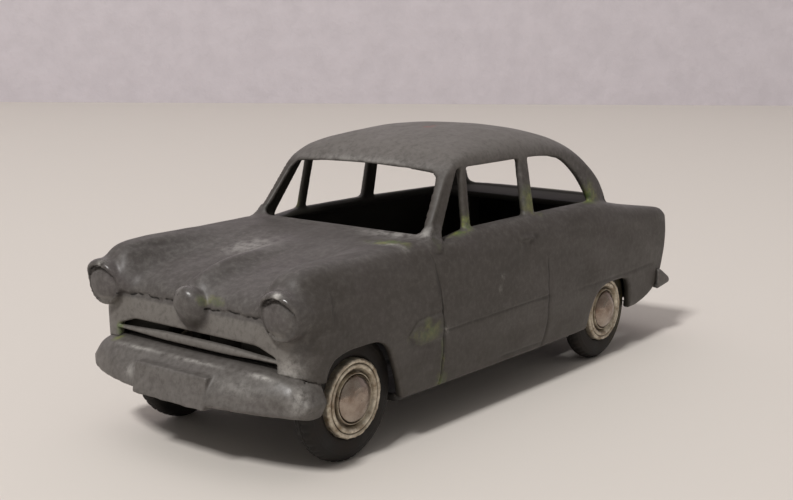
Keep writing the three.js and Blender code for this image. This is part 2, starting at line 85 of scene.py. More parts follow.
HALF_TRACK = 13.35  # from the middle of an axle to the middle of a tyre
BASE_WAIST = 10.5  # half-width of the base plate between the tyres
BASE_TOP = 5.9  # the base plate's upper face
CRACK_Z = 17.77  # the cracked edge over the front panel
TREAD_BLOCKS = 44
SETTLING_ROUNDS = 3  # how often a net is evened out and moved onto its surface
LONGEST_STEP = 0.1  # how far a vertex moves in a round
NUDGE = 0.03  # how far apart a field is sampled for its slope
AXIS_BORE = 0.02  # radius of the bore that stands for the axis of a solid turned piece

CAMERA_AZIMUTH, CAMERA_TILT, CAMERA_ROLL = (math.radians(angle) for angle in (51.82, 10.406, 0.269))
CAMERA_PLACE = (-0.136665, -0.103154, 0.04958)  # in metres, as is all of the stage
CAMERA_LENS, CAMERA_SENSOR = 56.28, 36.0
LIGHT_DISTANCE = 1.5
WALL_DISTANCE = 0.6  # behind the car
WALL_TOP, WALL_FOOT = 1.6, -0.05
STAGE_HALF_WIDTH, TABLE_NEAR_EDGE = 2, -1.5


def millimetres(node):
    """A CAD node's lowest and highest corners, in millimetres."""
    return tuple(np.array(corner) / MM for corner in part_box(node))


def middle(node, axis):
    """The middle of a CAD node along one axis, in millimetres."""
    return float(np.mean([corner[axis] for corner in millimetres(node)]))


AXLES_X = {end: middle(f"{end}_axle", 0) for end in ("front", "rear")}
AXLE_Y = middle("front_axle", 1)  # both axles lie over to the left
TYRE_RADIUS = millimetres("front_left_tyre")[1][2] / 2
RIVETS_X = {end: middle(f"{end}_rivet", 0) for end in ("front", "rear")}

# ---- Curves ----


def profile(points):
    """A smooth curve through [distance, value] points, level beyond both ends."""
    at, value = np.array(points, float).T
    before, after = np.r_[0, 0 : len(at) - 1], np.r_[1 : len(at), len(at) - 1]
    slope = (value[after] - value[before]) / (at[after] - at[before])

    def curve(x):
        x = np.clip(x, at[0], at[-1])
        i = np.clip(np.searchsorted(at, x, side="right") - 1, 0, len(at) - 2)
        span = at[i + 1] - at[i]
        t = (x - at[i]) / span
        share = t * t * (3 - 2 * t)
        bend = span * t * (1 - t) * (slope[i] * (1 - t) - slope[i + 1] * t)
        return value[i] * (1 - share) + value[i + 1] * share + bend

    return curve


deck_height = profile([
    [-44, 18.2], [-43, 18.9], [-42, 19.6], [-40, 20.4], [-36, 21.3], [-32, 22.0], [-28, 22.8], [-24, 23.4],
    [-18, 23.8], [24, 24.0], [29, 23.5], [33, 22.5], [37, 21.7], [41, 20.8], [45.5, 19.0],
])
spine_height = profile([[-44, 0.5], [-42, 1.2], [-38, 1.4], [-34, 1.1], [-30, 0.5], [-25, 0]])
crown_height = profile([
    [-44.4, 22.0], [-43.5, 22.4], [-41.3, 23.1], [-39, 23.45], [-33, 23.6], [-18, 23.8], [-6, 24.0],
    [12, 24.0], [22, 23.7], [28, 23.0], [32, 22.3], [38, 21.4], [43.4, 20.7], [45.5, 19.8],
])
plan_half_width = profile([
    [-44, 16.5], [-42, 16.95], [-38, 17.3], [-30, 17.4], [15, 17.4], [28, 17.1], [36, 16.6], [45.5, 15.8],
])
side_tuck = profile([[2, -0.9], [6, -0.45], [8, -0.15], [11, 0], [14, 0.05], [16.5, -0.05], [19, -0.35]])
roof_height = profile([
    [-19.9, 22.2], [-18.1, 24.2], [-15.3, 28.0], [-12.9, 31.4], [-11.6, 32.7], [-8.8, 34.2], [-4.5, 35.15],
    [0, 35.55], [5, 35.7], [11, 35.3], [16, 34.5], [20, 33.3], [24, 30.9], [27, 28.3], [30, 25.2],
    [32.6, 22.0],
])
roof_shoulder = profile([
    [-18, 0.9], [-13, 1.1], [-10, 1.7], [-7.5, 2.4], [-3, 3.6], [5, 4.1], [20, 4.0], [29, 3.0],
])
cabin_taper = profile([
    [-19, 0.2], [-10, 0], [6, 0], [14, 0.2], [21, 0.5], [25, 0.8], [27, 1.2], [29, 1.9], [31, 2.9], [33, 4.0],
])

# The ends and the underside of the shell in side view: X over height, and height over X.
front_face = profile([
    [7, -42.5], [8, -42.6], [12.4, -43.0], [17.5, -43.0], [17.75, -42.9], [17.95, -43.2], [18.3, -43.5],
    [19.2, -43.7], [20.4, -43.55], [21.6, -43.1], [23, -42.5], [26, -41],
])
tail_face = profile([
    [6.6, 35.5], [7.7, 40.0], [8.9, 42.5], [10.8, 43.9], [12.9, 44.7], [15.0, 45.3], [17.0, 45.65],
    [18.9, 45.6], [20.4, 44.9], [21.7, 43.4], [24, 41],
])
underside = profile([
    [-42.6, 8.0], [-38, 7.7], [-30, 6.6], [-26.3, 5.95], [18, 5.95], [30.4, 6.7], [33.4, 6.6], [36.5, 6.9],
    [40, 7.7], [42.5, 8.9],
])
front_rounding = profile([[14, 4.0], [18, 3.2], [21, 1.4]])
tail_rounding = profile([[10, 2.8], [18, 1.9], [21, 1.2]])

front_lip = profile([[0, -47.2], [6, -47.0], [10.5, -46.2], [14, -45.1], [16, -44.2], [17.6, -43.2]])
front_crease = profile([[0, -44.3], [8, -44.2], [13, -43.7], [16, -43.0], [17.3, -42.2]])
front_under = profile([[0, -45.2], [6, -44.8], [12, -43.8], [15, -42.9], [17.3, -41.8]])
front_top = profile([[0, 12.2], [13, 12.2], [15.5, 11.75], [17.5, 10.5]])
rear_lip = profile([[0, 47.2], [8, 47.1], [12, 46.7], [14.6, 46.0], [16.7, 44.7]])
rear_crease = profile([[0, 44.8], [10, 44.4], [13, 43.6], [15, 42.6], [16.7, 41.4]])

# ---- Implicit solids: a field is negative inside, about a distance near the surface ----


def join(a, b, blend):
    """The join of two solids, with a fillet."""
    h = np.clip(0.5 + 0.5 * (b - a) / blend, 0, 1)
    return b * (1 - h) + a * h - blend * h * (1 - h)


def overlap(a, b, blend):
    """What two solids share, with a rounded edge."""
    return -join(-a, -b, blend)


def ease(x, low, high):
    """Zero up to low and one from high on; low may be the larger."""
    t = np.clip((x - low) / (high - low), 0, 1)
    return t * t * (3 - 2 * t)


def bell(x, width):
    """One at zero, fading to nothing over about twice the width."""
    return np.exp(-((x / width) ** 2))


def slab(x, low, high):
    """What lies between two planes."""
    return np.maximum(low - x, x - high)


def box(x, y, z, low, high, blend):
    """A block with rounded edges."""
    sides = overlap(slab(x, low[0], high[0]), slab(y, low[1], high[1]), blend)
    return overlap(sides, slab(z, low[2], high[2]), blend)


def convex(p, q, corners, blend):
    """A convex outline in two coordinates, its corners rounded. Corners run anticlockwise."""
    field = None
    for (p0, q0), (p1, q1) in zip(corners, corners[1:] + corners[:1]):
        length = math.hypot(p1 - p0, q1 - q0)
        edge = ((p - p0) * (q1 - q0) - (q - q0) * (p1 - p0)) / length
        field = edge if field is None else overlap(field, edge, blend)
    return field


def polyline(p, q, points):
    """Distance from a polyline in two coordinates."""
    nearest = None
    for (p0, q0), (p1, q1) in zip(points, points[1:]):
        dp, dq = p1 - p0, q1 - q0
        t = np.clip(((p - p0) * dp + (q - q0) * dq) / (dp * dp + dq * dq), 0, 1)
        away = np.hypot(p - p0 - t * dp, q - q0 - t * dq)
        nearest = away if nearest is None else np.minimum(nearest, away)
    return nearest


def ellipsoid(x, y, z, centre, radii):
    s = np.sqrt(sum(((v - c) / r) ** 2 for v, c, r in zip((x, y, z), centre, radii)))
    g = np.sqrt(sum(((v - c) / r**2) ** 2 for v, c, r in zip((x, y, z), centre, radii)))
    return s * (s - 1) / np.maximum(g, 1e-6)


def ripple(x, y, z):
    """The slow unevenness of a small casting rubbed down by hand, about one unit high."""
    return (
        np.sin(0.31 * x + 0.7) * np.sin(0.42 * y + 1.1) * np.cos(0.38 * z)
        + 0.6 * np.sin(0.83 * x - 0.5 * z + 2.0) * np.sin(0.9 * y + 0.3 * x)
        + 0.3 * np.sin(1.9 * x + 0.8 * y) * np.cos(1.7 * z - 0.6 * y + 1.0)
    )


# ---- The cast shell ----


def lower_body(x, y, z, inset):
    """Wings, bonnet, doors and boot, drawn in by inset."""
    across = np.abs(y)
    deck = deck_height(x) - inset
    crown = crown_height(x) - inset
    narrow = ease(x, -28, -38)
    wing = ease(across, 7.5 + 2.0 * narrow, 13.3 - 0.4 * narrow)
    top = deck + spine_height(x) * bell(y, 1.7) + (crown - deck) * wing
    shoulder_z = np.minimum(SHOULDER_Z, crown - 1) - inset / 2
    side = plan_half_width(x) + side_tuck(np.minimum(z, shoulder_z)) - inset
    crown_y = CROWN_Y - inset / 2
    rise, reach = crown - shoulder_z, side - crown_y
    u = np.maximum(z - shoulder_z, 0) / rise
    v = np.maximum(across - crown_y, 0) / reach
    s = np.maximum(np.sqrt(u * u + v * v), 1e-6)
    round_shoulder = (s - 1) * s / np.sqrt((u / rise) ** 2 + (v / reach) ** 2 + 1e-9)
    return np.where((z > shoulder_z) & (across > crown_y), round_shoulder, np.maximum(z - top, across - side))


def cabin_body(x, y, z, inset):
    """Roof, pillars and back, drawn in by inset."""
    across = np.abs(y)
    top = roof_height(x) - inset
    rise = np.minimum(roof_shoulder(x), 0.8 * np.maximum(top - CABIN_LOW, 1))
    eaves = top - rise
    half_width = CABIN_HALF_WIDTH - inset - cabin_taper(x)
    at_eaves = half_width - CABIN_LEAN * (eaves - BELT_Z)
    u = np.maximum(z - eaves, 0) / rise
    v = across / at_eaves
    s = np.maximum((u**2.5 + v**2.5) ** 0.4, 1e-6)
    slope = np.sqrt((u**1.5 / rise) ** 2 + (v**1.5 / at_eaves) ** 2 + 1e-9) / s**1.5
    dome = (s - 1) / slope
    side = (across - half_width + CABIN_LEAN * (z - BELT_Z)) / math.hypot(1, CABIN_LEAN)
    shell = np.where(z > eaves, dome, side)
    return shell / np.sqrt(1 + (0.75 * ease(np.abs(x - 6), 12, 22)) ** 2)


FRONT_ARCH = [
    (-39.4, 3), (-25.7, 3), (-25.7, 6.1), (-26.1, 7.2), (-26.9, 9.3), (-27.75, 11.35), (-28.6, 12.8),
    (-29.6, 13.55), (-30.9, 13.95), (-33.4, 14.05), (-36.2, 13.9), (-38.2, 13.3), (-39.1, 12.2),
    (-39.4, 10.9),
]
REAR_ARCH = [
    (17.5, 3), (31.2, 3), (31.15, 6.5), (30.85, 8.5), (30.5, 10.2), (29.8, 11.3), (28.6, 11.85), (26.4, 12.0),
    (23, 11.95), (21, 11.45), (19.4, 10.4), (18.2, 8.7), (17.6, 6.6),
]
VENT_WINDOW = [(-15.6, 22.95), (-9.95, 23.95), (-9.35, 31.5), (-10.2, 31.45)]
DOOR_WINDOW = [(-8.7, 24.0), (4.1, 24.05), (4.2, 31.6), (-8.2, 31.55)]
QUARTER_WINDOW = [
    (6.4, 24.05), (22.9, 23.9), (21.0, 26.8), (18.4, 29.1), (15.0, 30.95), (11.2, 31.55), (6.3, 31.6),
]
WINDSCREEN = [(-13.4, 24.0), (13.4, 24.0), (12.1, 31.0), (0, 31.85), (-12.1, 31.0)]
BACK_WINDOW = [(-12.3, 23.95), (12.3, 23.95), (10.7, 29.2), (0, 30.45), (-10.7, 29.2)]

FRONT_SHUT = [(-18.55, 5.0), (-18.25, 9), (-18.05, 13.2), (-18.5, 17.5), (-19.5, 22.6)]
REAR_SHUT = [(5.0, 5.0), (5.5, 7.2), (6.15, 9.2), (6.2, 18)]
BOOT_LID = [(46.5, 10.2), (41.5, 10.6), (34.5, 9.6), (33.6, 8.2), (33.4, 0)]


def lamp_face(dy, dz):
    """Distance from the middle of a headlamp's face, which is slightly flattened."""
    return np.hypot(dy, (dz + 0.2) * 1.12)


def lamp(x, y, z, side):
    """A headlamp: a rounded pod with a thick hood over a disc that lies low in its face."""
    dy, dz = y - side * LAMP_Y, z - LAMP_Z
    hood = LAMP_X + 0.25 - 0.6 * ease(dz, 0.2, 2.2)
    pod = overlap(np.hypot(dy, dz) - LAMP_RADIUS, hood - x, 1.0)
    mouth = overlap(lamp_face(dy, dz) - 2.5, x - (LAMP_X + 0.8), 0.3)
    pod = overlap(pod, -mouth, 0.2)
    disc = ellipsoid(x, lamp_face(dy, dz), 0, (LAMP_X + 0.9, 0, 0), (0.85, 2.42, 1))
    return np.maximum(join(pod, disc, 0.1), x + 38.5)


def crack_wander(y):
    """How the cracked edge over the front panel wanders up and down."""
    return 0.10 * np.sin(1.3 * y) + 0.07 * np.sin(3.7 * y)


def engravings(x, y, z):
    """How deep shut lines, creases and trim are cut into the shell's skin. Raised detail is negative."""
    across = np.abs(y)
    wander = 0.06 * np.sin(2.3 * z) + 0.05 * np.sin(0.9 * z + 1)
    front_shut = polyline(x + wander, z, FRONT_SHUT)
    rear_shut = polyline(x + wander, z, REAR_SHUT)
    depth = 0.26 * bell(front_shut, 0.17) * (0.45 + 0.55 * ease(np.abs(z - 12), 9.5, 3))
    depth = depth + 0.17 * bell(rear_shut, 0.28) * ease(z, 19, 17)
    above_trim = z - 13.05 - 0.012 * (x + 18)
    trim = ease(x, -18.3, -17.8) * ease(x, 6.4, 5.8)
    depth = depth + 0.09 * trim * bell(above_trim + 0.22, 0.16) - 0.07 * trim * bell(above_trim - 0.1, 0.22)
    foot_seam = polyline(x, z, [(-15.5, 23.6), (-17.3, 22.0), (-18.5, 22.2)])
    depth = depth + 0.2 * bell(foot_seam, 0.15)
    sill = ease(x, -8, -3) * ease(x, 5.2, 4.8)
    depth = depth + 0.2 * sill * bell(z - 6.6, 0.16)
    rear_crease_span = ease(x, 10, 16) * ease(x, 41, 37)
    depth = depth + 0.12 * rear_crease_span * bell(z - 12.55, 0.3)
    flash = convex(x, z, [(-24.9, 13.4), (-23.4, 12.1), (-18.6, 12.1), (-18.6, 15.0), (-23.2, 14.8)], 0.4)
    depth = depth - 0.2 * ease(flash, 0.18, -0.12) + 0.1 * bell(flash - 0.3, 0.15)
    handle = ellipsoid(x, 0, z, (1.2, 0, 21.55), (1.5, 1, 0.33))
    thumb = np.hypot(x - 2.0, z - 21.2)
    depth = depth - 0.35 * ease(handle, 0.25, -0.3) + 0.25 * bell(thumb, 0.28)
    depth = depth * ease(across, 12.6, 14.2)
    lid = polyline(x, across, BOOT_LID)
    depth = depth + 0.16 * bell(lid, 0.2) * ease(x, 32.6, 33.6) * ease(z, 14.6, 15.4)
    wing_crease = bell(across - 12.2 + 0.16 * (x + 40), 0.3) * ease(x, -42.4, -40.5)
    depth = depth + 0.16 * wing_crease * ease(x, -29, -35) * ease(z, 18, 20)
    lid_edge = ease(across, 10.6, 9.8) * ease(x, 42, 43) * bell(z - 15.0, 0.2)
    return depth + 0.16 * lid_edge


def shell_skin(x, y, z):
    """The shell's outer form, solid throughout."""
    form = lower_body(x, y, z, 0)
    form = overlap(form, front_face(z + crack_wander(y)) - x, front_rounding(z))
    form = overlap(form, x - tail_face(z), tail_rounding(z))
    form = overlap(form, underside(x) - z, 0.5)
    cabin = np.maximum(np.maximum(cabin_body(x, y, z, 0), CABIN_LOW - z), slab(x, -19.8, 32.5))
    form = join(form, cabin, 0.7)
    bulb = ellipsoid(x + 0.32 * (z - 17.8), y, z, (-42.95, 0, 17.5), (1.85, 2.4, 2.75))
    form = join(form, bulb, 0.4)
    foot = convex(x, z, [(-18.7, 22.3), (-17.6, 22.6), (-15.0, 24.6), (-16.8, 25.2), (-18.2, 23.6)], 0.3)
    foot = overlap(foot, slab(np.abs(y), 13.4, 14.95 - 0.1 * (z - 22)), 0.3)
    form = join(form, foot, 0.35)
    for side in (-1, 1):
        form = join(form, lamp(x, y, z, side), 0.55)
    return form + engravings(x, y, z) + 0.035 * ripple(x, y, z)


def shell_hollow(x, y, z):
    """The space inside the shell, closed off from the windows and arches."""
    lower = lower_body(x, y, z, WALL)
    lower = overlap(lower, front_face(z) + WALL - x, 1.5)
    lower = overlap(lower, x - tail_face(z) + WALL + 0.6, 2.5)
    cabin = overlap(cabin_body(x, y, z, WALL - 0.1), SHELF_Z - z, 0.5)
    cabin = overlap(cabin, slab(x, -17.0, 29.3), 0.5)
    well = box(x, y, z, (-17.0, -13.3, 20), (21.6, 13.3, 25), 0.4)
    return join(join(lower, cabin, 0.2), well, 0.2)


def bumper_seats(x, y, z):
    """The space that both bumpers take from the shell."""
    across = np.abs(y)
    room = np.maximum(slab(x, -41.8, -41.4), slab(z, 2, 12.45))
    corner = np.maximum(15.7 - across, slab(x, -43, -39.1))
    corner = np.maximum(corner, np.maximum(2 - z, z - front_top(across) - 0.08))
    room = np.minimum(np.minimum(np.maximum(room, across - 15.4), corner), front_blade(x, y, z) + SEAT_GAP)
    rear_room = np.maximum(np.maximum(slab(x, 42.2, 50), slab(z, 2, 9.5)), across - 5)
    return np.minimum(room, np.minimum(rear_room, rear_blade(x, y, z) + SEAT_GAP))


def shell(x, y, z):
    """The whole casting."""
    across = np.abs(y)
    form = overlap(shell_skin(x, y, z), -shell_hollow(x, y, z), 0.35)
    for corners, blend in ((VENT_WINDOW, 0.4), (DOOR_WINDOW, 0.7), (QUARTER_WINDOW, 0.6)):
        form = overlap(form, -convex(x, z, corners, blend), 0.45)
    for corners, span in ((WINDSCREEN, (-22, -5)), (BACK_WINDOW, (16, 34))):
        opening = np.maximum(convex(y, z, corners, 1.3), slab(x, *span))
        form = overlap(form, -opening, 0.45)
    for corners in (FRONT_ARCH, REAR_ARCH):
        arch = np.maximum(convex(x, z, corners, 0.3), ARCH_INNER_Y - across)
        form = overlap(form, -arch, 0.4)
    screen = box(x, across, z, (-41.4, 6.0, 11.9), (-40.6, 15.6, 15.9), 0.2)
    form = join(form, screen, 0.2)
    arched_top = SLOT_TOP - 0.8 * ease(across, SLOT_HALF - 3.5, SLOT_HALF)
    slot = overlap(across - SLOT_HALF, z - arched_top, 0.9)
    form = overlap(form, -np.maximum(slot, slab(x, -47, -41.5)), 0.25)
    bar_taper = 0.32 * ease(across, 4, 13)
    bar = overlap(slab(z, 12.95 + 0.8 * bar_taper, 13.9 - bar_taper), slab(x, -43.1, -42.1), 0.35)
    form = join(form, np.maximum(bar, across - SLOT_HALF - 0.3), 0.12)
    form = overlap(form, -bumper_seats(x, y, z), 0.12)
    for post_x in RIVETS_X.values():
        away = np.hypot(x - post_x, y)
        post = overlap(away - POST_RADIUS, slab(z, POST_LOW, deck_height(post_x) - 0.6), 0.3)
        form = np.maximum(join(form, post, 0.6), -np.maximum(away - POST_BORE, z - 11.3))
    for axle_x in AXLES_X.values():
        low = (axle_x - 1.5, SADDLE_Y - 0.8, TYRE_RADIUS + 1.7)
        high = (axle_x + 1.5, SADDLE_Y + 0.8, deck_height(axle_x) - 0.6)
        form = join(form, box(x, across, z, low, high, 0.2), 0.4)
    return form


# ---- Bumpers and base plate ----


def edge(p, q, start, end):
    """Distance to the right of a line through two points, whose coordinates may be arrays."""
    dp, dq = end[0] - start[0], end[1] - start[1]
    return ((p - start[0]) * dq - (q - start[1]) * dp) / np.hypot(dp, dq)


def front_blade(x, y, z):
    """The front bumper's wedge: a sloping top, a swelling face down to the lip, and an underside."""
    reach = np.abs(y)
    top, crease, lip, under = (curve(reach) for curve in (front_top, front_crease, front_lip, front_under))
    rear_top = top + 0.3 * ease(reach, 17, 15)
    field = edge(x, z, (-41.6, rear_top), (crease, top - 0.25))
    face = edge(x, z, (crease - 0.05, top - 0.3), (lip, 8.8))
    field = overlap(field, face - 0.4 * np.sin(np.clip((top - z) / 3.4, 0, 1) * math.pi), 0.35)
    field = overlap(field, lip - x, 0.45)
    field = overlap(field, edge(x, z, (lip + 0.05, 8.0), (under, 7.35)), 0.4)
    field = overlap(field, 7.25 - z, 0.3)
    field = overlap(field, reach - 17.85 + 0.5 * np.abs(z - 9.1), 0.35)
    back = np.minimum(x + 41.7, np.maximum(15.95 - reach, x + 39.7))
    return overlap(field, back, 0.1 + 0.7 * ease(reach, 15.9, 16.4))


def tongue(x, y, z, start, end):
    """A bumper's tongue between two places along the car."""
    low, high = (start, -TONGUE_HALF, TONGUE_LOW), (end, TONGUE_HALF, TONGUE_HIGH)
    return box(x, y, z, low, high, 0.2)


def rivet_bar(x, y, end):
    """An endless round bar where a rivet goes through."""
    return np.hypot(x - RIVETS_X[end], y) - RIVET_HOLE


def front_bumper(x, y, z):
    """The front blade with a blank number plate and a tongue."""
    field = front_blade(x, y, z)
    plate = box(x - 0.17 * (z - 7.9), y, z, (-47.25, -5.9, 7.5), (-45.1, 5.9, 11.15), 0.2)
    field = join(field, plate, 0.25)
    field = join(field, tongue(x, y, z, -43.4, RIVETS_X["front"] + POST_RADIUS), 0.3)
    field = np.maximum(field, -rivet_bar(x, y, "front"))
    dents = 0.02 * np.sin(1.7 * y + 0.6) * np.sin(1.1 * x) + 0.012 * np.sin(3.1 * y + 2.0 * z)
    return field + dents * ease(x, -42.5, -44)


def rear_blade(x, y, z):
    """The rear bumper's blade, shallower than the front one."""
    reach = np.abs(y)
    crease, lip = rear_crease(reach), rear_lip(reach)
    field = edge(x, z, (lip, 9.4), (crease, 11.2))
    field = overlap(field, x - lip, 0.5)
    field = overlap(field, edge(x, z, (crease + 0.4, 8.1), (lip, 8.6)), 0.35)
    field = overlap(field, z - 11.2, 0.3)
    field = overlap(field, 8.05 - z, 0.3)
    field = overlap(field, reach - 16.75, 0.6)
    return np.maximum(field, crease - 0.9 - x)


def rear_bumper(x, y, z):
    """The rear blade with a tongue that joins it over a short foot."""
    foot = box(x, y, z, (43.9, -TONGUE_HALF, TONGUE_LOW), (45.2, TONGUE_HALF, 8.4), 0.2)
    foot = join(tongue(x, y, z, RIVETS_X["rear"] - POST_RADIUS, 45.2), foot, 0.2)
    field = join(rear_blade(x, y, z), foot, 0.2)
    return np.maximum(field, -rivet_bar(x, y, "rear")) + 0.03 * ripple(x, 2 * y, z)


def base_plate(x, y, z):
    """The pressed plate under the car: saddles with axle grooves, rivet recesses and two ribs."""
    low, high = millimetres("base_plate")
    across = np.abs(y)
    waist = BASE_WAIST + (high[1] - BASE_WAIST) * ease(x, -25.9, -24.1) * ease(x, 17.3, 15.5)
    tip = [(-39.8, -1), (39.6, -1), (39.6, 8), (35.6, 17), (-36.6, 17), (-38.6, 7), (-39.8, 4)]
    ends = convex(x, across, tip, 1.5)
    outline = overlap(across - waist, ends, 0.8)
    ribs = 0.45 * ease(np.abs(across - 5.5), 0.75, 0.35) * ease(np.abs(x + 4), 19, 18)
    field = overlap(outline, np.maximum(low[2] - z, z - ribs - BASE_TOP), 0.35)
    for axle_x in AXLES_X.values():
        saddle_low, saddle_high = (axle_x - 2.4, SADDLE_Y - 1, 5.2), (axle_x + 2.4, SADDLE_Y + 1, high[2])
        field = join(field, box(x, across, z, saddle_low, saddle_high, 0.4), 0.5)
        groove = np.hypot(x - axle_x, np.minimum(z - TYRE_RADIUS, 0)) - 1.25
        field = overlap(field, -groove, 0.15)
    for rivet_x in RIVETS_X.values():
        radius = np.hypot(x - rivet_x, y)
        field = join(field, overlap(radius - 2.7, slab(z, 5.3, 6.5), 0.3), 0.3)
        field = overlap(field, -np.maximum(radius - 2.1, z - 5.8), 0.2)
        field = np.maximum(field, RIVET_HOLE - radius)
    return field


# ---- Nets over implicit solids ----


def grid_line(*spans):
    """Grid positions from (start, end, step) spans that follow one another."""
    lines = [np.linspace(a, b, max(1, round((b - a) / step)), endpoint=False) for a, b, step in spans]
    return np.concatenate([*lines, [spans[-1][1]]])


def both_sides(*spans):
    """Grid positions mirrored about zero."""
    half = grid_line(*spans)
    return np.concatenate([-half[:0:-1], half])


def surface_net(field, lines):
    """Vertices and quads of a closed net between a field's inner and outer grid points."""
    xs, ys, zs = lines
    values = field(xs[:, None, None], ys[None, :, None], zs[None, None, :])
    values = np.ascontiguousarray(np.broadcast_to(values, (len(xs), len(ys), len(zs))))
    inner = values < 0
    count = np.zeros(np.array(values.shape) - 1, np.int8)
    for i in (0, 1):
        for j in (0, 1):
            for k in (0, 1):
                count += inner[i : len(xs) - 1 + i, j : len(ys) - 1 + j, k : len(zs) - 1 + k]
    cells = np.argwhere((count > 0) & (count < 8))
    number = np.full(count.shape, -1, np.int64)
    number[tuple(cells.T)] = np.arange(len(cells))
    sums, hits = np.zeros((len(cells), 3)), np.zeros(len(cells))
    quads = []
    for axis in range(3):
        u, v = (axis + 1) % 3, (axis + 2) % 3
        for du in (0, 1):
            for dv in (0, 1):
                start = cells.copy()
                start[:, u] += du
                start[:, v] += dv
                end = start.copy()
                end[:, axis] += 1
                a, b = values[tuple(start.T)], values[tuple(end.T)]
                crossing = (a < 0) != (b < 0)
                point = np.stack([lines[k][start[:, k]] for k in range(3)], 1)
                share = a / np.where(crossing, a - b, 1)
                point[:, axis] += share * (lines[axis][end[:, axis]] - lines[axis][start[:, axis]])
                sums += point * crossing[:, None]
                hits += crossing
        first = np.take(inner, range(inner.shape[axis] - 1), axis)
        last = np.take(inner, range(1, inner.shape[axis]), axis)
        crossed = np.argwhere(first != last)
        room = (crossed[:, u] > 0) & (crossed[:, v] > 0)
        room &= (crossed[:, u] < values.shape[u] - 1) & (crossed[:, v] < values.shape[v] - 1)
        crossed = crossed[room]
        outwards = first[tuple(crossed.T)]
        corners = []
        for du, dv in ((-1, -1), (0, -1), (0, 0), (-1, 0)):
            cell = crossed.copy()
            cell[:, u] += du
            cell[:, v] += dv
            corners.append(number[tuple(cell.T)])
        quad = np.stack(corners, 1)
        quads.append(np.where(outwards[:, None], quad, quad[:, ::-1]))
    return sums / hits[:, None], np.concatenate(quads)


def settle(vertices, quads, field):
    """Evens out a net and moves its vertices onto the field's surface."""
    starts, ends = quads.ravel(), np.roll(quads, -1, 1).ravel()
    degree = np.bincount(starts, minlength=len(vertices)).astype(float)
    for turn in range(SETTLING_ROUNDS):
        if turn < SETTLING_ROUNDS - 1:
            sums = [np.bincount(starts, vertices[ends, k], len(vertices)) for k in range(3)]
            vertices = vertices + 0.5 * ((np.stack(sums) / degree).T - vertices)
        here = field(*vertices.T)
        moved = [(vertices + shift).T for shift in NUDGE * np.eye(3)]
        slope = np.stack([(field(*place) - here) / NUDGE for place in moved], 1)
        steepness = np.maximum((slope**2).sum(1), 0.1)
        step = -(here / steepness)[:, None] * slope
        length = np.linalg.norm(step, axis=1, keepdims=True)
        vertices = vertices + step * np.minimum(1, LONGEST_STEP / np.maximum(length, 1e-9))
    return vertices


def mesh_object(name, vertices, faces):
    """A smooth-shaded mesh object from vertices in millimetres."""
    mesh = bpy.data.meshes.new(name)
    mesh.from_pydata((np.asarray(vertices) * MM).tolist(), [], np.asarray(faces).tolist())
    mesh.polygons.foreach_set("use_smooth", [True] * len(mesh.polygons))
    mesh.update()
    obj = bpy.data.objects.new(name, mesh)
    bpy.context.scene.collection.objects.link(obj)
    return obj


def cast(name, field, lines):
    """A casting: a net over a field."""
    vertices, quads = surface_net(field, lines)
    return mesh_object(name, settle(vertices, quads, field), quads)


def points_of(obj):
    """A mesh's vertices, in millimetres."""
    co = np.empty(len(obj.data.vertices) * 3, np.float32)
    obj.data.vertices.foreach_get("co", co)
    return co.reshape(-1, 3).astype(float) / MM


def paint(obj, **masks):
    """Stores a number for each vertex under each name, for the materials to read."""
    for name, values in masks.items():
        layer = obj.data.attributes.new(name, "FLOAT", "POINT")
        layer.data.foreach_set("value", np.asarray(values, np.float32))


def finish_piece(obj, node, body, slot):
    """Gives a new piece its material and its place in the assembly."""
    obj.data.materials.clear()
    obj.data.materials.append(materials[slot])
    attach(obj, body)
    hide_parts(node)


def spot(p, centre, radii):
    """One at a point and fading to nothing about an ellipsoid round it."""
    return np.exp(-(((p - np.array(centre)) / np.array(radii)) ** 2).sum(1))


# ---- Turned and moulded pieces ----


def soften(points, cut):
    """A closed profile with its corners cut back, twice over, so that they round off."""
    for _ in range(2):
        out = []
        count = len(points)
        for i in range(count):
            here = np.array(points[i], float)
            for other in (points[i - 1], points[(i + 1) % count]):
                gap = np.array(other, float) - here
                length = np.linalg.norm(gap)
                out.append(here + gap * min(0.3, cut / max(length, 1e-9)))
        points, cut = out, cut / 2
    return np.array(points)


def subdivided(points, step):
    """A closed profile with points no further apart than step."""
    out = []
    for start, end in zip(points, np.roll(points, -1, 0)):
        pieces = max(1, math.ceil(np.linalg.norm(end - start) / step))
        out += [start + (end - start) * k / pieces for k in range(pieces)]
    return np.array(out)


def rings_to_mesh(name, rings, flip):
    """A closed mesh from rings of points, each joined to the next and the last to the first.

    flip turns its faces over, where they would look inwards.
    """
    count, sides = rings.shape[:2]
    ring, step = np.arange(count)[:, None], np.arange(sides)[None, :]
    next_ring, next_step = (ring + 1) % count, (step + 1) % sides
    order = [ring * sides + step, next_ring * sides + step]
    order += [next_ring * sides + next_step, ring * sides + next_step]
    quads = np.stack(np.broadcast_arrays(*order), -1).reshape(-1, 4)
    return mesh_object(name, rings.reshape(-1, 3), quads[:, ::-1] if flip else quads)


def turned(name, points, sides, centre, side, shape=None):
    """A closed profile of [radius, distance outwards from centre] turned about an axle.

    shape() may move its points.
    """
    angle = np.arange(sides) * 2 * math.pi / sides
    radius, outwards = points[:, 0][:, None], points[:, 1][:, None]
    turn = angle[None, :]
    if shape:
        radius, outwards = shape(radius, outwards, turn)
    radius, outwards = (np.broadcast_to(v, (len(points), sides)) for v in (radius, outwards))
    x = centre[0] + radius * np.cos(turn)
    z = centre[2] + radius * np.sin(turn)
    r, out = radius[:, 0], outwards[:, 0]
    area = (r * np.roll(out, -1) - np.roll(r, -1) * out).sum()
    rings = np.stack([x, centre[1] + side * outwards, z], -1)
    return rings_to_mesh(name, rings, area * side < 0)


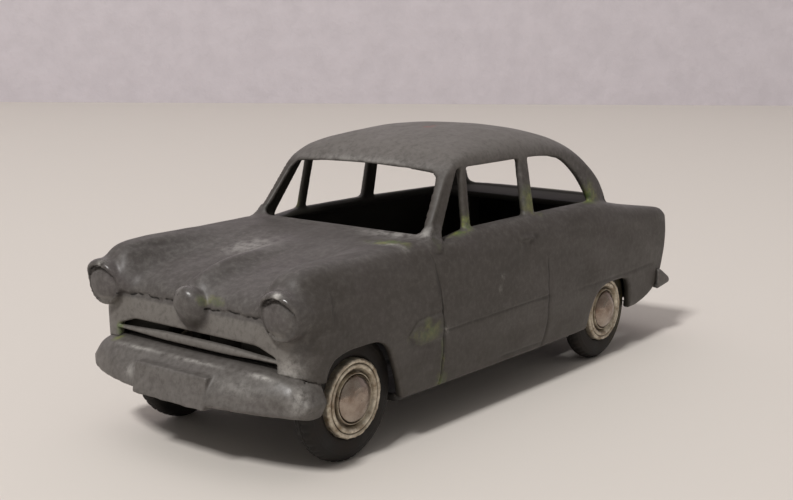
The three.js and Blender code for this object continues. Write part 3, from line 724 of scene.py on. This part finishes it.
def closed(points):
    """A profile that meets the axis, closed by a bore too fine to see."""
    return [(max(r, AXIS_BORE), y) for r, y in points]


# Outlines of [radius, distance outwards from the middle of the tyre].
TYRE = [
    (4.3, -1.1), (4.3, -1.25), (5.2, -1.28), (6.5, -1.25), (7.1, -1.1), (7.42, -0.75), (7.56, -0.25),
    (7.6, 0), (7.56, 0.25), (7.42, 0.65), (7.1, 1.0), (6.55, 1.22), (6.35, 1.2), (6.2, 1.24), (5.5, 1.26),
    (4.95, 1.2), (4.72, 1.0), (4.6, 0.5), (4.3, 0.3),
]
HUB = [
    (1.3, 1.2), (1.3, -1.1), (3.85, -1.1), (3.85, 0.45), (4.62, 0.45), (4.65, 1.6), (4.56, 1.82), (4.38, 1.9),
    (4.16, 1.85), (4.1, 1.7), (4.03, 1.7), (3.98, 1.86), (3.8, 1.9), (3.55, 1.82), (3.42, 1.6), (3.2, 1.22),
    (3.1, 1.18), (3.03, 1.3), (3.0, 1.78), (2.93, 1.84), (2.86, 1.78), (2.84, 1.2),
]
CAP = [
    (0, 1.4), (2.6, 1.4), (2.72, 1.55), (2.75, 1.75), (2.66, 1.92), (2.4, 2.13), (2.0, 2.35), (1.5, 2.55),
    (0.9, 2.7), (0.4, 2.77), (0, 2.79),
]


def tyre_shape(radius, outwards, turn):
    """Tread blocks pressed into the shoulders, and a line round the middle."""
    tread = ease(radius, 7.05, 7.4)
    row = np.where(outwards > 0, 0.5, 0.0)
    notch = ease(np.cos((turn * TREAD_BLOCKS / (2 * math.pi) + row) * 2 * math.pi), 0.35, 0.85)
    groove = bell(outwards, 0.09)
    wear = 0.03 * np.sin(3 * turn + 0.5) + 0.02 * np.sin(7 * turn)
    return radius - tread * (0.13 * notch + 0.12 * groove) + wear * ease(radius, 6.5, 7.4), outwards


def hub_shape(radius, outwards, turn):
    """A rim left slightly ragged by the lathe and by years of use."""
    rim = ease(radius, 4.2, 4.6)
    ragged = 0.03 * np.sin(9 * turn + 1) + 0.03 * np.sin(23 * turn) + 0.025 * np.sin(41 * turn + 2)
    return radius + rim * ragged, outwards + 0.012 * rim * np.sin(13 * turn)


def cap_shape(radius, outwards, turn):
    """A dome with the flats and dints of a hand-polished stamping."""
    dint = 0.03 * np.sin(2 * turn + 0.7) * np.sin(1.9 * radius)
    dint = dint + 0.02 * np.sin(5 * turn) * ease(radius, 0.6, 2)
    return radius, outwards + dint * ease(outwards, 1.7, 2.2)


# Name, CAD node, profile, corner cut, step, sides, shape and finish of a wheel's pieces.
WHEEL_PIECES = [
    ("moulded_tyre", "tyre", TYRE, 0.08, 0.16, 220, tyre_shape, "rubber"),
    ("turned_hub", "hub", HUB, 0.04, 0.2, 144, hub_shape, "wheel_metal"),
    ("polished_cap", "hub_cap", closed(CAP), 0.04, 0.16, 96, cap_shape, "cap_metal"),
]


def make_wheel(end, side_name):
    side = 1 if side_name == "right" else -1
    centre = (AXLES_X[end], AXLE_Y + side * HALF_TRACK, TYRE_RADIUS)
    for name, node, outline, cut, step, sides, shape, slot in WHEEL_PIECES:
        points = subdivided(soften(outline, cut), step)
        piece = turned(f"{end}_{side_name}_{name}", points, sides, centre, side, shape)
        finish_piece(piece, f"{end}_{side_name}_{node}", f"{end}_wheelset", slot)


def make_axle(end):
    low, high = millimetres(f"{end}_axle")
    half, radius = (high[1] - low[1]) / 2, (high[2] - low[2]) / 2
    points = [(0, -half), (radius - 0.2, -half), (radius, 0.2 - half)]
    points += [(r, -y) for r, y in points[::-1]]
    points = subdivided(soften(closed(points), 0.06), 1.0)
    axle = turned(f"{end}_drawn_axle", points, 48, (AXLES_X[end], AXLE_Y, TYRE_RADIUS), 1)
    finish_piece(axle, f"{end}_axle", f"{end}_wheelset", "steel")


def make_rivet(end):
    """A drive rivet, turned about the vertical, with a slightly domed head."""
    low, high = millimetres(f"{end}_rivet")
    head, head_top = (high[0] - low[0]) / 2, low[2] + 0.5
    points = [
        (0, low[2]), (0.7, low[2] + 0.02), (head - 0.35, low[2] + 0.08), (head, low[2] + 0.25),
        (head, head_top), (1.0, head_top), (1.0, high[2] - 0.3), (0.7, high[2]), (0, high[2]),
    ]
    points = subdivided(soften(closed(points), 0.05), 0.6)
    angles = np.arange(48) * 2 * math.pi / 48
    rings = [[(RIVETS_X[end] + r * math.cos(a), r * math.sin(a), h) for a in angles] for r, h in points]
    rivet = rings_to_mesh(f"{end}_drive_rivet", np.array(rings), True)
    finish_piece(rivet, f"{end}_rivet", "shell", "steel")


# ---- Materials ----


class Finish:
    """A node material being built: each method adds a node and returns its output socket."""

    def __init__(self, name):
        self.material = bpy.data.materials.new(name)
        self.material.use_nodes = True
        self.tree = self.material.node_tree
        self.shader = self.tree.nodes["Principled BSDF"]
        coordinates = self.add("ShaderNodeTexCoord")
        self.place = self.add("ShaderNodeMapping", Vector=coordinates.outputs["Object"], Scale=(1 / MM,) * 3)

    def add(self, kind, **inputs):
        node = self.tree.nodes.new(kind)
        for name, value in inputs.items():
            self.set(node.inputs[name.replace("_", " ")], value)
        return node

    def set(self, socket, value):
        if hasattr(value, "default_value") and hasattr(value, "is_output"):
            self.tree.links.new(value, socket)
        else:
            socket.default_value = value

    def noise(self, size, detail=3.0, stretch=(1, 1, 1), roughness=0.55, distortion=0.0):
        """Soft noise with features of about that size, in millimetres."""
        scale = tuple(1 / s for s in stretch)
        scaled = self.add("ShaderNodeMapping", Vector=self.place.outputs[0], Scale=scale)
        node = self.add(
            "ShaderNodeTexNoise", Vector=scaled.outputs[0], Scale=0.55 / size, Detail=detail,
            Roughness=roughness, Distortion=distortion,
        )
        return node.outputs["Fac"]

    def mask(self, name):
        node = self.add("ShaderNodeAttribute")
        node.attribute_name = name
        return node.outputs["Fac"]

    def ramp(self, value, low, high, to_low=0.0, to_high=1.0):
        node = self.add("ShaderNodeMapRange", Value=value)
        for name, number in (("From Min", low), ("From Max", high), ("To Min", to_low), ("To Max", to_high)):
            node.inputs[name].default_value = number
        return node.outputs[0]

    def math(self, operation, a, b=0.0):
        node = self.add("ShaderNodeMath")
        node.operation = operation
        self.set(node.inputs[0], a)
        self.set(node.inputs[1], b)
        return node.outputs[0]

    def times(self, a, b):
        return self.math("MULTIPLY", a, b)

    def mix(self, factor, a, b):
        """Colour a where factor is 0 and b where it is 1."""
        node = self.add("ShaderNodeMix")
        node.data_type = "RGBA"
        self.set(node.inputs["Factor"], factor)
        for socket, value in ((node.inputs[6], a), (node.inputs[7], b)):
            self.set(socket, value if hasattr(value, "is_output") else (*value, 1))
        return node.outputs[2]

    def coat(self, amount, *tone):
        """Lays a tone, in screen values of 0 to 255, over the colour so far."""
        self.colour = self.mix(amount, self.colour, srgb(*tone))

    def bump(self, height, depth, strength=1.0):
        """Turns a height of 0 to 1 into relief that many millimetres deep."""
        node = self.add("ShaderNodeBump", Height=height, Distance=depth * MM, Strength=strength)
        self.set(self.shader.inputs["Normal"], node.outputs[0])

    def put(self, **inputs):
        """Hands the colour and some other inputs to the shader and returns the material."""
        flat = isinstance(self.colour, tuple)
        self.set(self.shader.inputs["Base Color"], (*self.colour, 1) if flat else self.colour)
        for name, value in inputs.items():
            self.set(self.shader.inputs[name.replace("_", " ")], value)
        return self.material


def srgb(*tone):
    """A colour given in screen values of 0 to 255, as linear light."""
    return tuple(((v / 255 + 0.055) / 1.055) ** 2.4 if v > 10 else v / 255 / 12.92 for v in tone)


def primer_finish():
    """Grey primer brushed on by hand over old green paint, rubbed thin on the edges, with painted light,
    shade and glints.
    """
    f = Finish("grey_primer")
    clouds = f.noise(9.0, 4.0, distortion=0.4)
    streaks = f.noise(1.3, 4.0, stretch=(4.5, 1, 1), distortion=0.6)
    grain = f.noise(0.22, 2.0)
    f.colour = f.mix(f.ramp(clouds, 0.35, 0.68), srgb(69, 65, 62), srgb(82, 78, 76))
    f.coat(f.ramp(f.noise(4.0, 3.0), 0.56, 0.74, 0, 0.3), 86, 78, 81)
    f.coat(f.ramp(streaks, 0.5, 0.75, 0, 0.28), 112, 108, 106)
    f.coat(f.ramp(streaks, 0.5, 0.28, 0, 0.3), 66, 61, 57)
    # Painted light: the roof's top, the front panel and the bumpers are lightened where the light falls on
    # them.
    f.coat(f.times(f.mask("pale"), 0.85), 108, 104, 99)
    speckle = f.noise(0.4, 3.0, roughness=0.7)
    f.coat(f.ramp(speckle, 0.5, 0.68, 0, 0.32), 112, 109, 105)
    f.coat(f.ramp(speckle, 0.5, 0.34, 0, 0.32), 48, 43, 39)
    # Painted shade: the flanks, the A-pillars, the lowest parts and a few spots are darkened.
    f.coat(f.times(f.mask("shade"), 0.55), 48, 42, 33)
    # Rubbed edges show a light bare colour; on the lamp hoods and the nose the same colour is a painted
    # glint.
    rubbed = f.times(f.mask("worn"), f.ramp(f.noise(0.8, 5.0, roughness=0.7), 0.36, 0.62))
    f.coat(rubbed, 176, 173, 168)
    green = f.times(f.mask("green"), f.ramp(f.noise(0.9, 5.0, roughness=0.7), 0.3, 0.6))
    green = f.ramp(green, 0.12, 0.75)
    old_paint = f.mix(f.ramp(f.noise(0.7), 0.4, 0.65), srgb(86, 100, 58), srgb(134, 136, 74))
    f.colour = f.mix(f.times(green, 0.9), f.colour, old_paint)
    red = f.ramp(f.times(f.mask("red"), f.ramp(f.noise(0.5, 4.0), 0.4, 0.6)), 0.25, 0.7)
    f.coat(f.times(red, 0.6), 130, 66, 62)
    # Grime and dark shut lines, with painted shade in the lamp seams under the hoods and in small pits.
    f.coat(f.times(f.mask("grime"), 0.85), 30, 26, 22)
    # The crack along the bonnet's front edge, drawn dark; it also stands for the shadow under the bonnet's
    # lip, so it is partly painted shadow.
    jagged = f.math("ADD", f.mask("crack"), f.times(f.noise(0.5, 4.0), 0.3))
    f.coat(f.ramp(jagged, 0.9, 0.98), 18, 15, 12)
    # Painted shade: the inside of the body, the wheel arches and the parcel shelf are painted near black.
    f.coat(f.mask("inside"), 36, 33, 26)
    dull = f.ramp(f.noise(2.2, 4.0, stretch=(2, 1, 1)), 0.3, 0.7, 0.44, 0.62)
    gloss = f.times(f.mask("polish"), 0.38)
    roughness = f.math("MAXIMUM", f.math("SUBTRACT", dull, gloss), f.times(f.mask("inside"), 0.75))
    relief = f.math("ADD", f.times(streaks, 0.6), f.times(grain, 0.25))
    relief = f.math("ADD", relief, f.times(f.noise(3.2, 3.0), 0.9))
    f.bump(relief, 0.09, 0.8)
    return f.put(Roughness=roughness, Specular_IOR_Level=0.45)


def base_paint_finish():
    """Thin black paint on tinplate, scuffed to the metal here and there."""
    f = Finish("black_base_paint")
    scuffs = f.noise(1.1, 6.0, stretch=(5, 1, 1), roughness=0.7)
    bare = f.ramp(scuffs, 0.63, 0.72)
    f.colour = f.mix(f.ramp(f.noise(6.0), 0.35, 0.65), srgb(30, 28, 26), srgb(44, 41, 38))
    f.coat(f.times(bare, 0.8), 132, 128, 120)
    f.bump(f.noise(0.4, 3.0), 0.02, 0.6)
    return f.put(Roughness=f.ramp(scuffs, 0.3, 0.7, 0.62, 0.42), Metallic=f.times(bare, 0.8))


def steel_finish():
    """Drawn steel with a light brown tarnish."""
    f = Finish("drawn_steel")
    tarnish = f.ramp(f.noise(1.6, 5.0, roughness=0.65), 0.48, 0.68)
    f.colour = f.mix(f.times(tarnish, 0.7), srgb(160, 157, 150), srgb(104, 82, 62))
    f.bump(f.noise(0.3, 3.0, stretch=(1, 4, 1)), 0.012, 0.6)
    return f.put(Roughness=f.ramp(tarnish, 0, 1, 0.32, 0.6), Metallic=0.95)


def wheel_metal_finish():
    """Soft turned light metal gone cream with age, dark in its grooves with grime and painted shade."""
    f = Finish("turned_light_metal")
    mottle = f.noise(0.8, 5.0, roughness=0.65)
    f.colour = f.mix(f.ramp(mottle, 0.35, 0.66), srgb(138, 122, 102), srgb(220, 212, 194))
    f.coat(f.ramp(f.noise(1.8, 4.0), 0.55, 0.75, 0, 0.55), 112, 88, 70)
    # Grime and painted shade: the groove and the recess round the cap are darkened.
    f.coat(f.times(f.mask("grime"), 0.9), 48, 38, 30)
    f.bump(f.noise(0.35, 4.0), 0.035, 0.8)
    return f.put(Roughness=f.ramp(mottle, 0.3, 0.7, 0.5, 0.34), Metallic=0.55)


def cap_metal_finish():
    """Polished metal with a faint brown film."""
    f = Finish("polished_cap_metal")
    film = f.noise(1.2, 4.0)
    f.colour = f.mix(f.ramp(film, 0.4, 0.7), srgb(168, 156, 145), srgb(126, 108, 95))
    f.bump(f.noise(0.7, 3.0), 0.02, 0.6)
    return f.put(Roughness=f.ramp(film, 0.3, 0.7, 0.16, 0.34), Metallic=1.0)


def rubber_finish():
    """Black rubber, greyed and dusty on the tread, with an olive cast on one shoulder."""
    f = Finish("black_rubber")
    dust = f.noise(1.5, 5.0, roughness=0.6)
    f.colour = f.mix(f.ramp(dust, 0.4, 0.75), srgb(22, 19, 17), srgb(42, 36, 32))
    f.coat(f.times(f.mask("olive"), f.ramp(f.noise(1.0), 0.35, 0.6)), 64, 58, 34)
    f.bump(f.noise(0.25, 3.0), 0.02, 0.7)
    return f.put(Roughness=f.ramp(dust, 0.3, 0.7, 0.58, 0.8), Specular_IOR_Level=0.35)


# ---- Paint masks ----


def add_up(p, spots):
    """The strongest of several (centre, radii, strength) spots at each point."""
    total = np.zeros(len(p))
    for centre, radii, strength in spots:
        total = np.maximum(total, strength * spot(p, centre, radii))
    return total


GREEN = [
    ((-22.6, -12.2, 23.8), (1.3, 3.0, 1.0), 1.0), ((-17.4, -15.0, 22.6), (0.9, 1.0, 1.0), 0.9),
    ((-9.8, -14.2, 24.3), (1.3, 1.0, 1.8), 1.3), ((-11.6, -14.6, 23.6), (2.0, 1.0, 0.6), 1.1),
    ((5.4, -14.2, 25.6), (1.5, 1.0, 2.6), 0.75), ((7.0, -14.6, 23.6), (0.8, 0.8, 0.6), 1.0),
    ((22.6, -13.6, 24.6), (2.0, 1.5, 2.0), 1.1), ((-43.4, -3.4, 18.9), (1.0, 1.6, 0.9), 0.9),
    ((-43.0, 12.9, 13.0), (1.0, 0.7, 1.1), 1.1), ((-22.0, -17.3, 13.5), (3.4, 2.0, 1.5), 0.62),
    ((-18.4, -17, 6.4), (1.3, 1.5, 1.2), 0.9), ((-18.4, -17.3, 10), (0.5, 1.5, 3.0), 0.6),
    ((12, 14.4, 24.2), (3, 1, 1.2), 0.8), ((-30, 17.2, 9), (2.5, 1.5, 2.0), 0.6),
    ((44.6, 6, 17.5), (2, 5, 2), 0.5), ((30, -4, 24), (3, 6, 1), 0.5),
    ((-9.0, 14.2, 24.6), (1.2, 1, 1.6), 0.9),
]
RED = [((0, -1.3, 35.5), (1.8, 0.9, 1), 1.0), ((8, 5, 35.5), (2, 1, 1), 0.6)]
GLINTS = [
    ((-44.2, -14.5, 20.9), (1.2, 2.2, 1.2), 1.1), ((-44.2, 14.5, 20.9), (1.2, 2.2, 1.2), 1.1),
    ((-44.0, 0.3, 19.6), (1.2, 1.5, 1.4), 1.1), ((-36, 0.2, 22.6), (7, 2.0, 1.4), 0.35),
]
# Painted shade spots: under the nose bulb, on the cowl and on the boot deck behind the back window.
SHADE = [
    ((-43.6, -1.3, 15.7), (1.6, 1.3, 1.1), 0.9), ((-21, 4, 23.8), (4, 12, 1.5), 0.4),
    ((32.2, 3, 23.2), (2.2, 11, 1.2), 1.1),
]
# Rubbed edges and scratches, and painted glints on the lamp hoods and on the nose.
WEAR_AND_GLINTS = [
    ((-23.5, -12.8, 23.7), (0.7, 2.4, 1.0), 0.8), ((-18.6, -9.5, 24.1), (1.6, 4.5, 0.8), 0.55),
    ((-17.2, -14.0, 24.0), (1.2, 0.8, 0.9), 0.75), ((-44.9, -14.9, 21.4), (0.5, 0.45, 0.35), 1.8),
    ((-44.9, 13.8, 21.4), (0.5, 0.45, 0.35), 1.4), ((-43.6, 0.6, 19.7), (0.8, 0.6, 0.6), 0.7),
    ((-30, 3.6, 22.5), (3.4, 3.0, 1.2), 0.5), ((-42.5, -14.6, 12.4), (1.3, 1.6, 1.5), 0.6),
    ((-17.9, -17.4, 12.8), (0.4, 1, 0.4), 1.0), ((-5.1, -17.4, 17.6), (0.35, 1, 0.4), 0.55),
    ((-5.9, -17.4, 15.8), (0.3, 1, 0.5), 0.5), ((43, 13, 19), (3, 3, 2), 0.5),
    ((-12.6, 0, 31.8), (1, 9, 0.6), 0.35),
]
# Rubbed bumper edges and scratches; the broad faint patch on the face is partly a painted highlight.
BUMPER_WEAR_AND_HIGHLIGHT = [
    ((-43.2, -16.6, 9.8), (1.0, 1.0, 1.6), 0.65), ((-44.1, -12.5, 11.8), (0.35, 2.8, 0.28), 0.8),
    ((-44.4, -2.0, 11.9), (0.3, 3.5, 0.25), 0.75), ((-44.4, 8.5, 11.9), (0.3, 5.0, 0.25), 0.6),
    ((-46.9, 7.2, 9.9), (0.8, 0.9, 0.9), 0.55), ((-45.6, -10.0, 10.5), (1.0, 3.6, 0.8), 0.18),
]
# Dirt and dark pits, with painted shade in small recesses.
GRIME_AND_SHADE = [
    ((1.6, -16.3, 21.9), (0.8, 1.2, 0.3), 0.5), ((3.6, -16.5, 21.5), (0.5, 1.2, 0.35), 0.8),
    ((-42.7, -16.4, 17.2), (0.3, 0.8, 0.5), 0.7), ((-44.1, 1.9, 17.6), (0.4, 0.25, 0.3), 0.9),
    ((-17.4, -14.9, 23.3), (0.5, 0.6, 0.7), 0.7), ((-37.3, -10.6, 22.3), (0.7, 0.3, 0.5), 0.5),
    ((5.2, -17.3, 12.85), (1.8, 1.0, 0.16), 0.8), ((-24.7, -17.3, 12.6), (0.5, 1.0, 0.5), 0.6),
    ((-2.2, -17.3, 19.2), (2.4, 1.0, 1.8), 0.22), ((-19.0, -17.2, 18.6), (0.3, 1.0, 1.5), 0.8),
    ((-36.5, -17.0, 15.6), (2.4, 1.0, 0.6), 0.25),
]


def paint_shell(piece):
    """Marks where the shell's paint is thin, green, grimy, rubbed shiny or dark inside, and where light,
    shade and glints are painted on.
    """
    p = points_of(piece)
    x, y, z = p.T
    across = np.abs(y)
    # Painted shade: the inner surfaces, the inside of the wheel arches and the parcel shelf are painted near
    # black.
    inside = ease(shell_hollow(x, y, z), 0.55, 0.15)
    for corners in (FRONT_ARCH, REAR_ARCH):
        arch = ease(convex(x, z, corners, 0.3), 0.5, 0.2) * ease(across, 16.9, 16.4)
        inside = np.maximum(inside, arch * ease(across, 11, 12))
    shelf = ease(x, 16, 18) * ease(x, 30.2, 29.6) * ease(across, 13.6, 13.2)
    inside = np.maximum(inside, 0.9 * shelf * ease(z, 24.3, 24.0))
    # Painted light: the roof's top and the front panel under the bonnet's edge are lightened, the nose bulb
    # left out.
    front = ease(x, -41.5, -42.4) * ease(across, 16, 14.5) * ease(z, 17.4, 17.1)
    front = front * ease(np.hypot(y, z - 17.5), 2.5, 3.0)
    pale = 0.75 * ease(z, 30, 34) + 0.9 * front
    # Painted shade: the flanks, the A-pillars, the parts low down and the SHADE spots are darkened.
    pillar = ease(z, 24.3, 25.5) * ease(z, 32, 30.5) * ease(x, -6, -8)
    shade = 0.72 * ease(across, 14.6, 16.2) * ease(x, -43.5, -40.5) + 0.9 * pillar
    shade = shade + 0.5 * ease(z, 11.5, 8)
    for centre, radii, strength in SHADE:
        shade = shade + strength * spot(p, centre, radii)
    engraved = np.maximum(engravings(x, y, z), 0)
    line = ease(engraved, 0.05, 0.24) * (0.5 + 0.5 * ease(np.abs(z - 12), 10, 1))
    # The crack along the bonnet's front edge, partly painted shadow under the bonnet's lip.
    crack = np.clip(1 - np.abs(z + crack_wander(y) - CRACK_Z) / 0.6, 0, 1) * ease(x, -41.8, -42.6)
    crack = crack * ease(across, 12.6, 12.0) * ease(across, 2.0, 2.4)
    crack = crack * (0.7 + 0.3 * ease(np.sin(1.9 * y + 1.0) + np.sin(4.3 * y), -0.8, 0.4))
    # The dark seam round each lamp's disc is strongest at the top, where it is painted shadow under the hood.
    dz = z - LAMP_Z
    ring = bell(lamp_face(across - LAMP_Y, dz) - 2.45, 0.2) * ease(x, -43.2, -43.6)
    seam_and_hood_shadow = ring * (0.45 + 0.75 * ease(dz, -0.5, 1.2))
    paint(
        piece, inside=inside, pale=np.clip(pale, 0, 1), shade=np.clip(shade, 0, 1), green=add_up(p, GREEN),
        red=add_up(p, RED), worn=add_up(p, WEAR_AND_GLINTS), polish=add_up(p, GLINTS), crack=crack,
        grime=np.clip(add_up(p, GRIME_AND_SHADE) + 0.85 * line + 0.8 * seam_and_hood_shadow, 0, 1),
    )


def paint_bumper(piece, worn, green, red):
    p = points_of(piece)
    x, y, z = p.T
    crack = ease(np.abs(np.abs(y) - 13.6), 0.8, 0.2) * ease(x, -43.9, -43.2)
    dirt = ease(x, -43.2, -42.4) * ease(x, -30, -41.8) * ease(z, 12.0, 12.3)
    # pale gives the bumpers painted light at a third of full strength; worn holds rubbed edges and, on the
    # front bumper, a painted highlight.
    paint(
        piece, worn=add_up(p, worn), green=add_up(p, green), red=add_up(p, red), pale=np.full(len(p), 0.33),
        grime=np.clip(crack * ease(z, 12.0, 12.4) + 0.5 * dirt, 0, 1),
        polish=add_up(p, [((-43.2, -16.4, 10.2), (1.2, 1.2, 2.0), 0.9)]),
    )


def paint_wheels():
    for obj in list(bpy.data.objects):
        if obj.name.endswith("turned_hub"):
            p = points_of(obj)
            end = obj.name.split("_")[0]
            radius = np.hypot(p[:, 0] - AXLES_X[end], p[:, 2] - TYRE_RADIUS)
            outwards = np.abs(p[:, 1] - AXLE_Y) - HALF_TRACK
            # Grime and painted shade: the groove and the recess round the cap are darkened.
            groove = bell(radius - 4.07, 0.07) * ease(outwards, 1.8, 1.7)
            well = ease(outwards, 1.55, 1.25) * (radius < 3.5)
            paint(obj, grime=np.clip(groove + 0.75 * well, 0, 1))
        if obj.name.endswith("moulded_tyre"):
            p = points_of(obj)
            near_rear = obj.name.startswith("rear_left")
            outwards = np.abs(p[:, 1] - AXLE_Y) - HALF_TRACK
            olive = ease(p[:, 0] - AXLES_X["rear"], 2, 6) * ease(outwards, 0.8, 1.1)
            paint(obj, olive=olive * near_rear * 0.9)


# ---- The stage ----


def flat_panel(name, corners, material):
    """A four-cornered panel of the stage."""
    mesh = bpy.data.meshes.new(name)
    mesh.from_pydata([tuple(corner) for corner in corners], [], [(0, 1, 2, 3)])
    mesh.materials.append(material)
    panel = bpy.data.objects.new(name, mesh)
    bpy.context.scene.collection.objects.link(panel)


def make_stage():
    """A pale table and, some way behind it, a wall with a rough lilac-grey paper."""
    forward = Vector((math.sin(CAMERA_AZIMUTH), math.cos(CAMERA_AZIMUTH), 0))
    right = Vector((forward.y, -forward.x, 0))
    up = Vector((0, 0, 1))
    half = STAGE_HALF_WIDTH
    f = Finish("pale_table")
    f.bump(f.noise(0.7, 4.0), 0.03, 0.25)
    f.colour = srgb(216, 210, 203)
    top = f.put(Roughness=0.75, Specular_IOR_Level=0.25)
    near = TABLE_NEAR_EDGE
    spread = [(near, -half), (near, half), (WALL_DISTANCE, half), (WALL_DISTANCE, -half)]
    flat_panel("table", [forward * d + right * w for d, w in spread], top)
    f = Finish("rough_wallpaper")
    chips = f.noise(7.0, 4.0, roughness=0.6)
    f.bump(chips, 1.6, 0.5)
    lilac = srgb(212, 205, 210)
    f.colour = f.mix(f.ramp(chips, 0.35, 0.65), tuple(0.93 * c for c in lilac), lilac)
    paper = f.put(Roughness=0.85, Specular_IOR_Level=0.2)
    rise = [(-half, WALL_FOOT), (half, WALL_FOOT), (half, WALL_TOP), (-half, WALL_TOP)]
    flat_panel("wall", [forward * WALL_DISTANCE + right * w + up * h for w, h in rise], paper)


def area_light(name, azimuth, elevation, size, power, colour):
    """A soft square light aimed at the car.

    Azimuth 0 stands behind the car as the camera sees it, 90 to its right.
    """
    turn = CAMERA_AZIMUTH + math.radians(azimuth)
    rise = math.radians(elevation)
    way = Vector((math.sin(turn) * math.cos(rise), math.cos(turn) * math.cos(rise), math.sin(rise)))
    light = bpy.data.lights.new(name, "AREA")
    light.size, light.energy, light.color = size, power, colour
    lamp_object = bpy.data.objects.new(name, light)
    lamp_object.location = way * LIGHT_DISTANCE
    lamp_object.rotation_mode = "QUATERNION"
    lamp_object.rotation_quaternion = way.to_track_quat("Z", "Y")
    bpy.context.scene.collection.objects.link(lamp_object)


def make_lights():
    """A small warm window light, a broad ceiling light and a faint even glow from the room."""
    area_light("window_light", -152, 49, size=0.22, power=16.0, colour=(1.0, 0.985, 0.97))
    area_light("ceiling_light", -60, 82, size=1.6, power=3.6, colour=(1.0, 0.985, 0.985))
    world = bpy.data.worlds.new("soft_room")
    world.use_nodes = True
    background = world.node_tree.nodes["Background"]
    background.inputs["Color"].default_value = (1.0, 0.96, 0.92, 1)
    background.inputs["Strength"].default_value = 0.31
    bpy.context.scene.world = world
    bpy.context.scene.view_settings.view_transform = "Standard"


def make_camera():
    camera = bpy.data.cameras.new("camera")
    camera.lens, camera.sensor_width = CAMERA_LENS, CAMERA_SENSOR
    camera.clip_start = 0.01
    rig = bpy.data.objects.new("camera", camera)
    ahead, aside = math.cos(CAMERA_AZIMUTH), math.sin(CAMERA_AZIMUTH)
    flat, down = math.cos(CAMERA_TILT), math.sin(CAMERA_TILT)
    forward = Vector((aside * flat, ahead * flat, -down))
    level = Vector((ahead, -aside, 0))
    right = math.cos(CAMERA_ROLL) * level + math.sin(CAMERA_ROLL) * level.cross(forward)
    up = right.cross(forward)
    columns = [(*right, 0), (*up, 0), (*-forward, 0), (*CAMERA_PLACE, 1)]
    rig.matrix_world = Matrix(columns).transposed()
    bpy.context.scene.collection.objects.link(rig)
    bpy.context.scene.camera = rig


# ---- Assembly ----

SHELL_LINES = (
    grid_line(
        (-46.4, -40.2, 0.2), (-40.2, -20, 0.33), (-20, -17.5, 0.13), (-17.5, 5, 0.36), (5, 6.6, 0.14),
        (6.6, 30, 0.38), (30, 46.6, 0.34),
    ),
    both_sides((0, 2.8, 0.27), (2.8, 11.4, 0.43), (11.4, 18.0, 0.28)),
    grid_line(
        (5.4, 12.2, 0.34), (12.2, 14.9, 0.17), (14.9, 17.2, 0.3), (17.2, 18.5, 0.17), (18.5, 36.2, 0.33),
    ),
)
FRONT_BUMPER_LINES = (
    grid_line((-47.8, -41.2, 0.2), (-41.2, -34.6, 0.5)),
    both_sides((0, 5.4, 0.36), (5.4, 6.3, 0.15), (6.3, 17.9, 0.28)),
    grid_line((6.4, 13.0, 0.18)),
)
REAR_BUMPER_LINES = (
    grid_line((32.2, 39.8, 0.5), (39.8, 47.8, 0.22)),
    both_sides((0, 17.4, 0.3)),
    grid_line((6.4, 11.8, 0.2)),
)
BASE_LINES = (
    grid_line((-40.6, -25, 0.35), (-25, 15, 0.5), (15, 40.2, 0.35)),
    both_sides((0, 15.8, 0.32)),
    grid_line((4.4, 6.7, 0.17), (6.7, 9.4, 0.3)),
)

materials = {
    "primer": primer_finish(),
    "base_paint": base_paint_finish(),
    "steel": steel_finish(),
    "wheel_metal": wheel_metal_finish(),
    "cap_metal": cap_metal_finish(),
    "rubber": rubber_finish(),
}

casting = cast("body_casting", shell, SHELL_LINES)
paint_shell(casting)
finish_piece(casting, "body_shell", "shell", "primer")

nose_bar = cast("front_bumper_casting", front_bumper, FRONT_BUMPER_LINES)
paint_bumper(
    nose_bar, BUMPER_WEAR_AND_HIGHLIGHT, [((-43.4, 12.9, 12.2), (0.8, 0.8, 0.6), 1.0)],
    [((-46.0, -9.5, 7.6), (0.8, 1.2, 0.5), 0.9)],
)
finish_piece(nose_bar, "front_bumper", "shell", "primer")

tail_bar = cast("rear_bumper_casting", rear_bumper, REAR_BUMPER_LINES)
paint_bumper(tail_bar, [((46.8, 0, 9.4), (0.8, 14, 0.6), 0.6)], [((45, 13, 10), (1, 2, 1), 0.6)], [])
finish_piece(tail_bar, "rear_bumper", "shell", "primer")

plate = cast("pressed_base_plate", base_plate, BASE_LINES)
finish_piece(plate, "base_plate", "shell", "base_paint")

for end_name in ("front", "rear"):
    make_axle(end_name)
    make_rivet(end_name)
    for wheel_side in ("left", "right"):
        make_wheel(end_name, wheel_side)
paint_wheels()

make_stage()
make_lights()
make_camera()
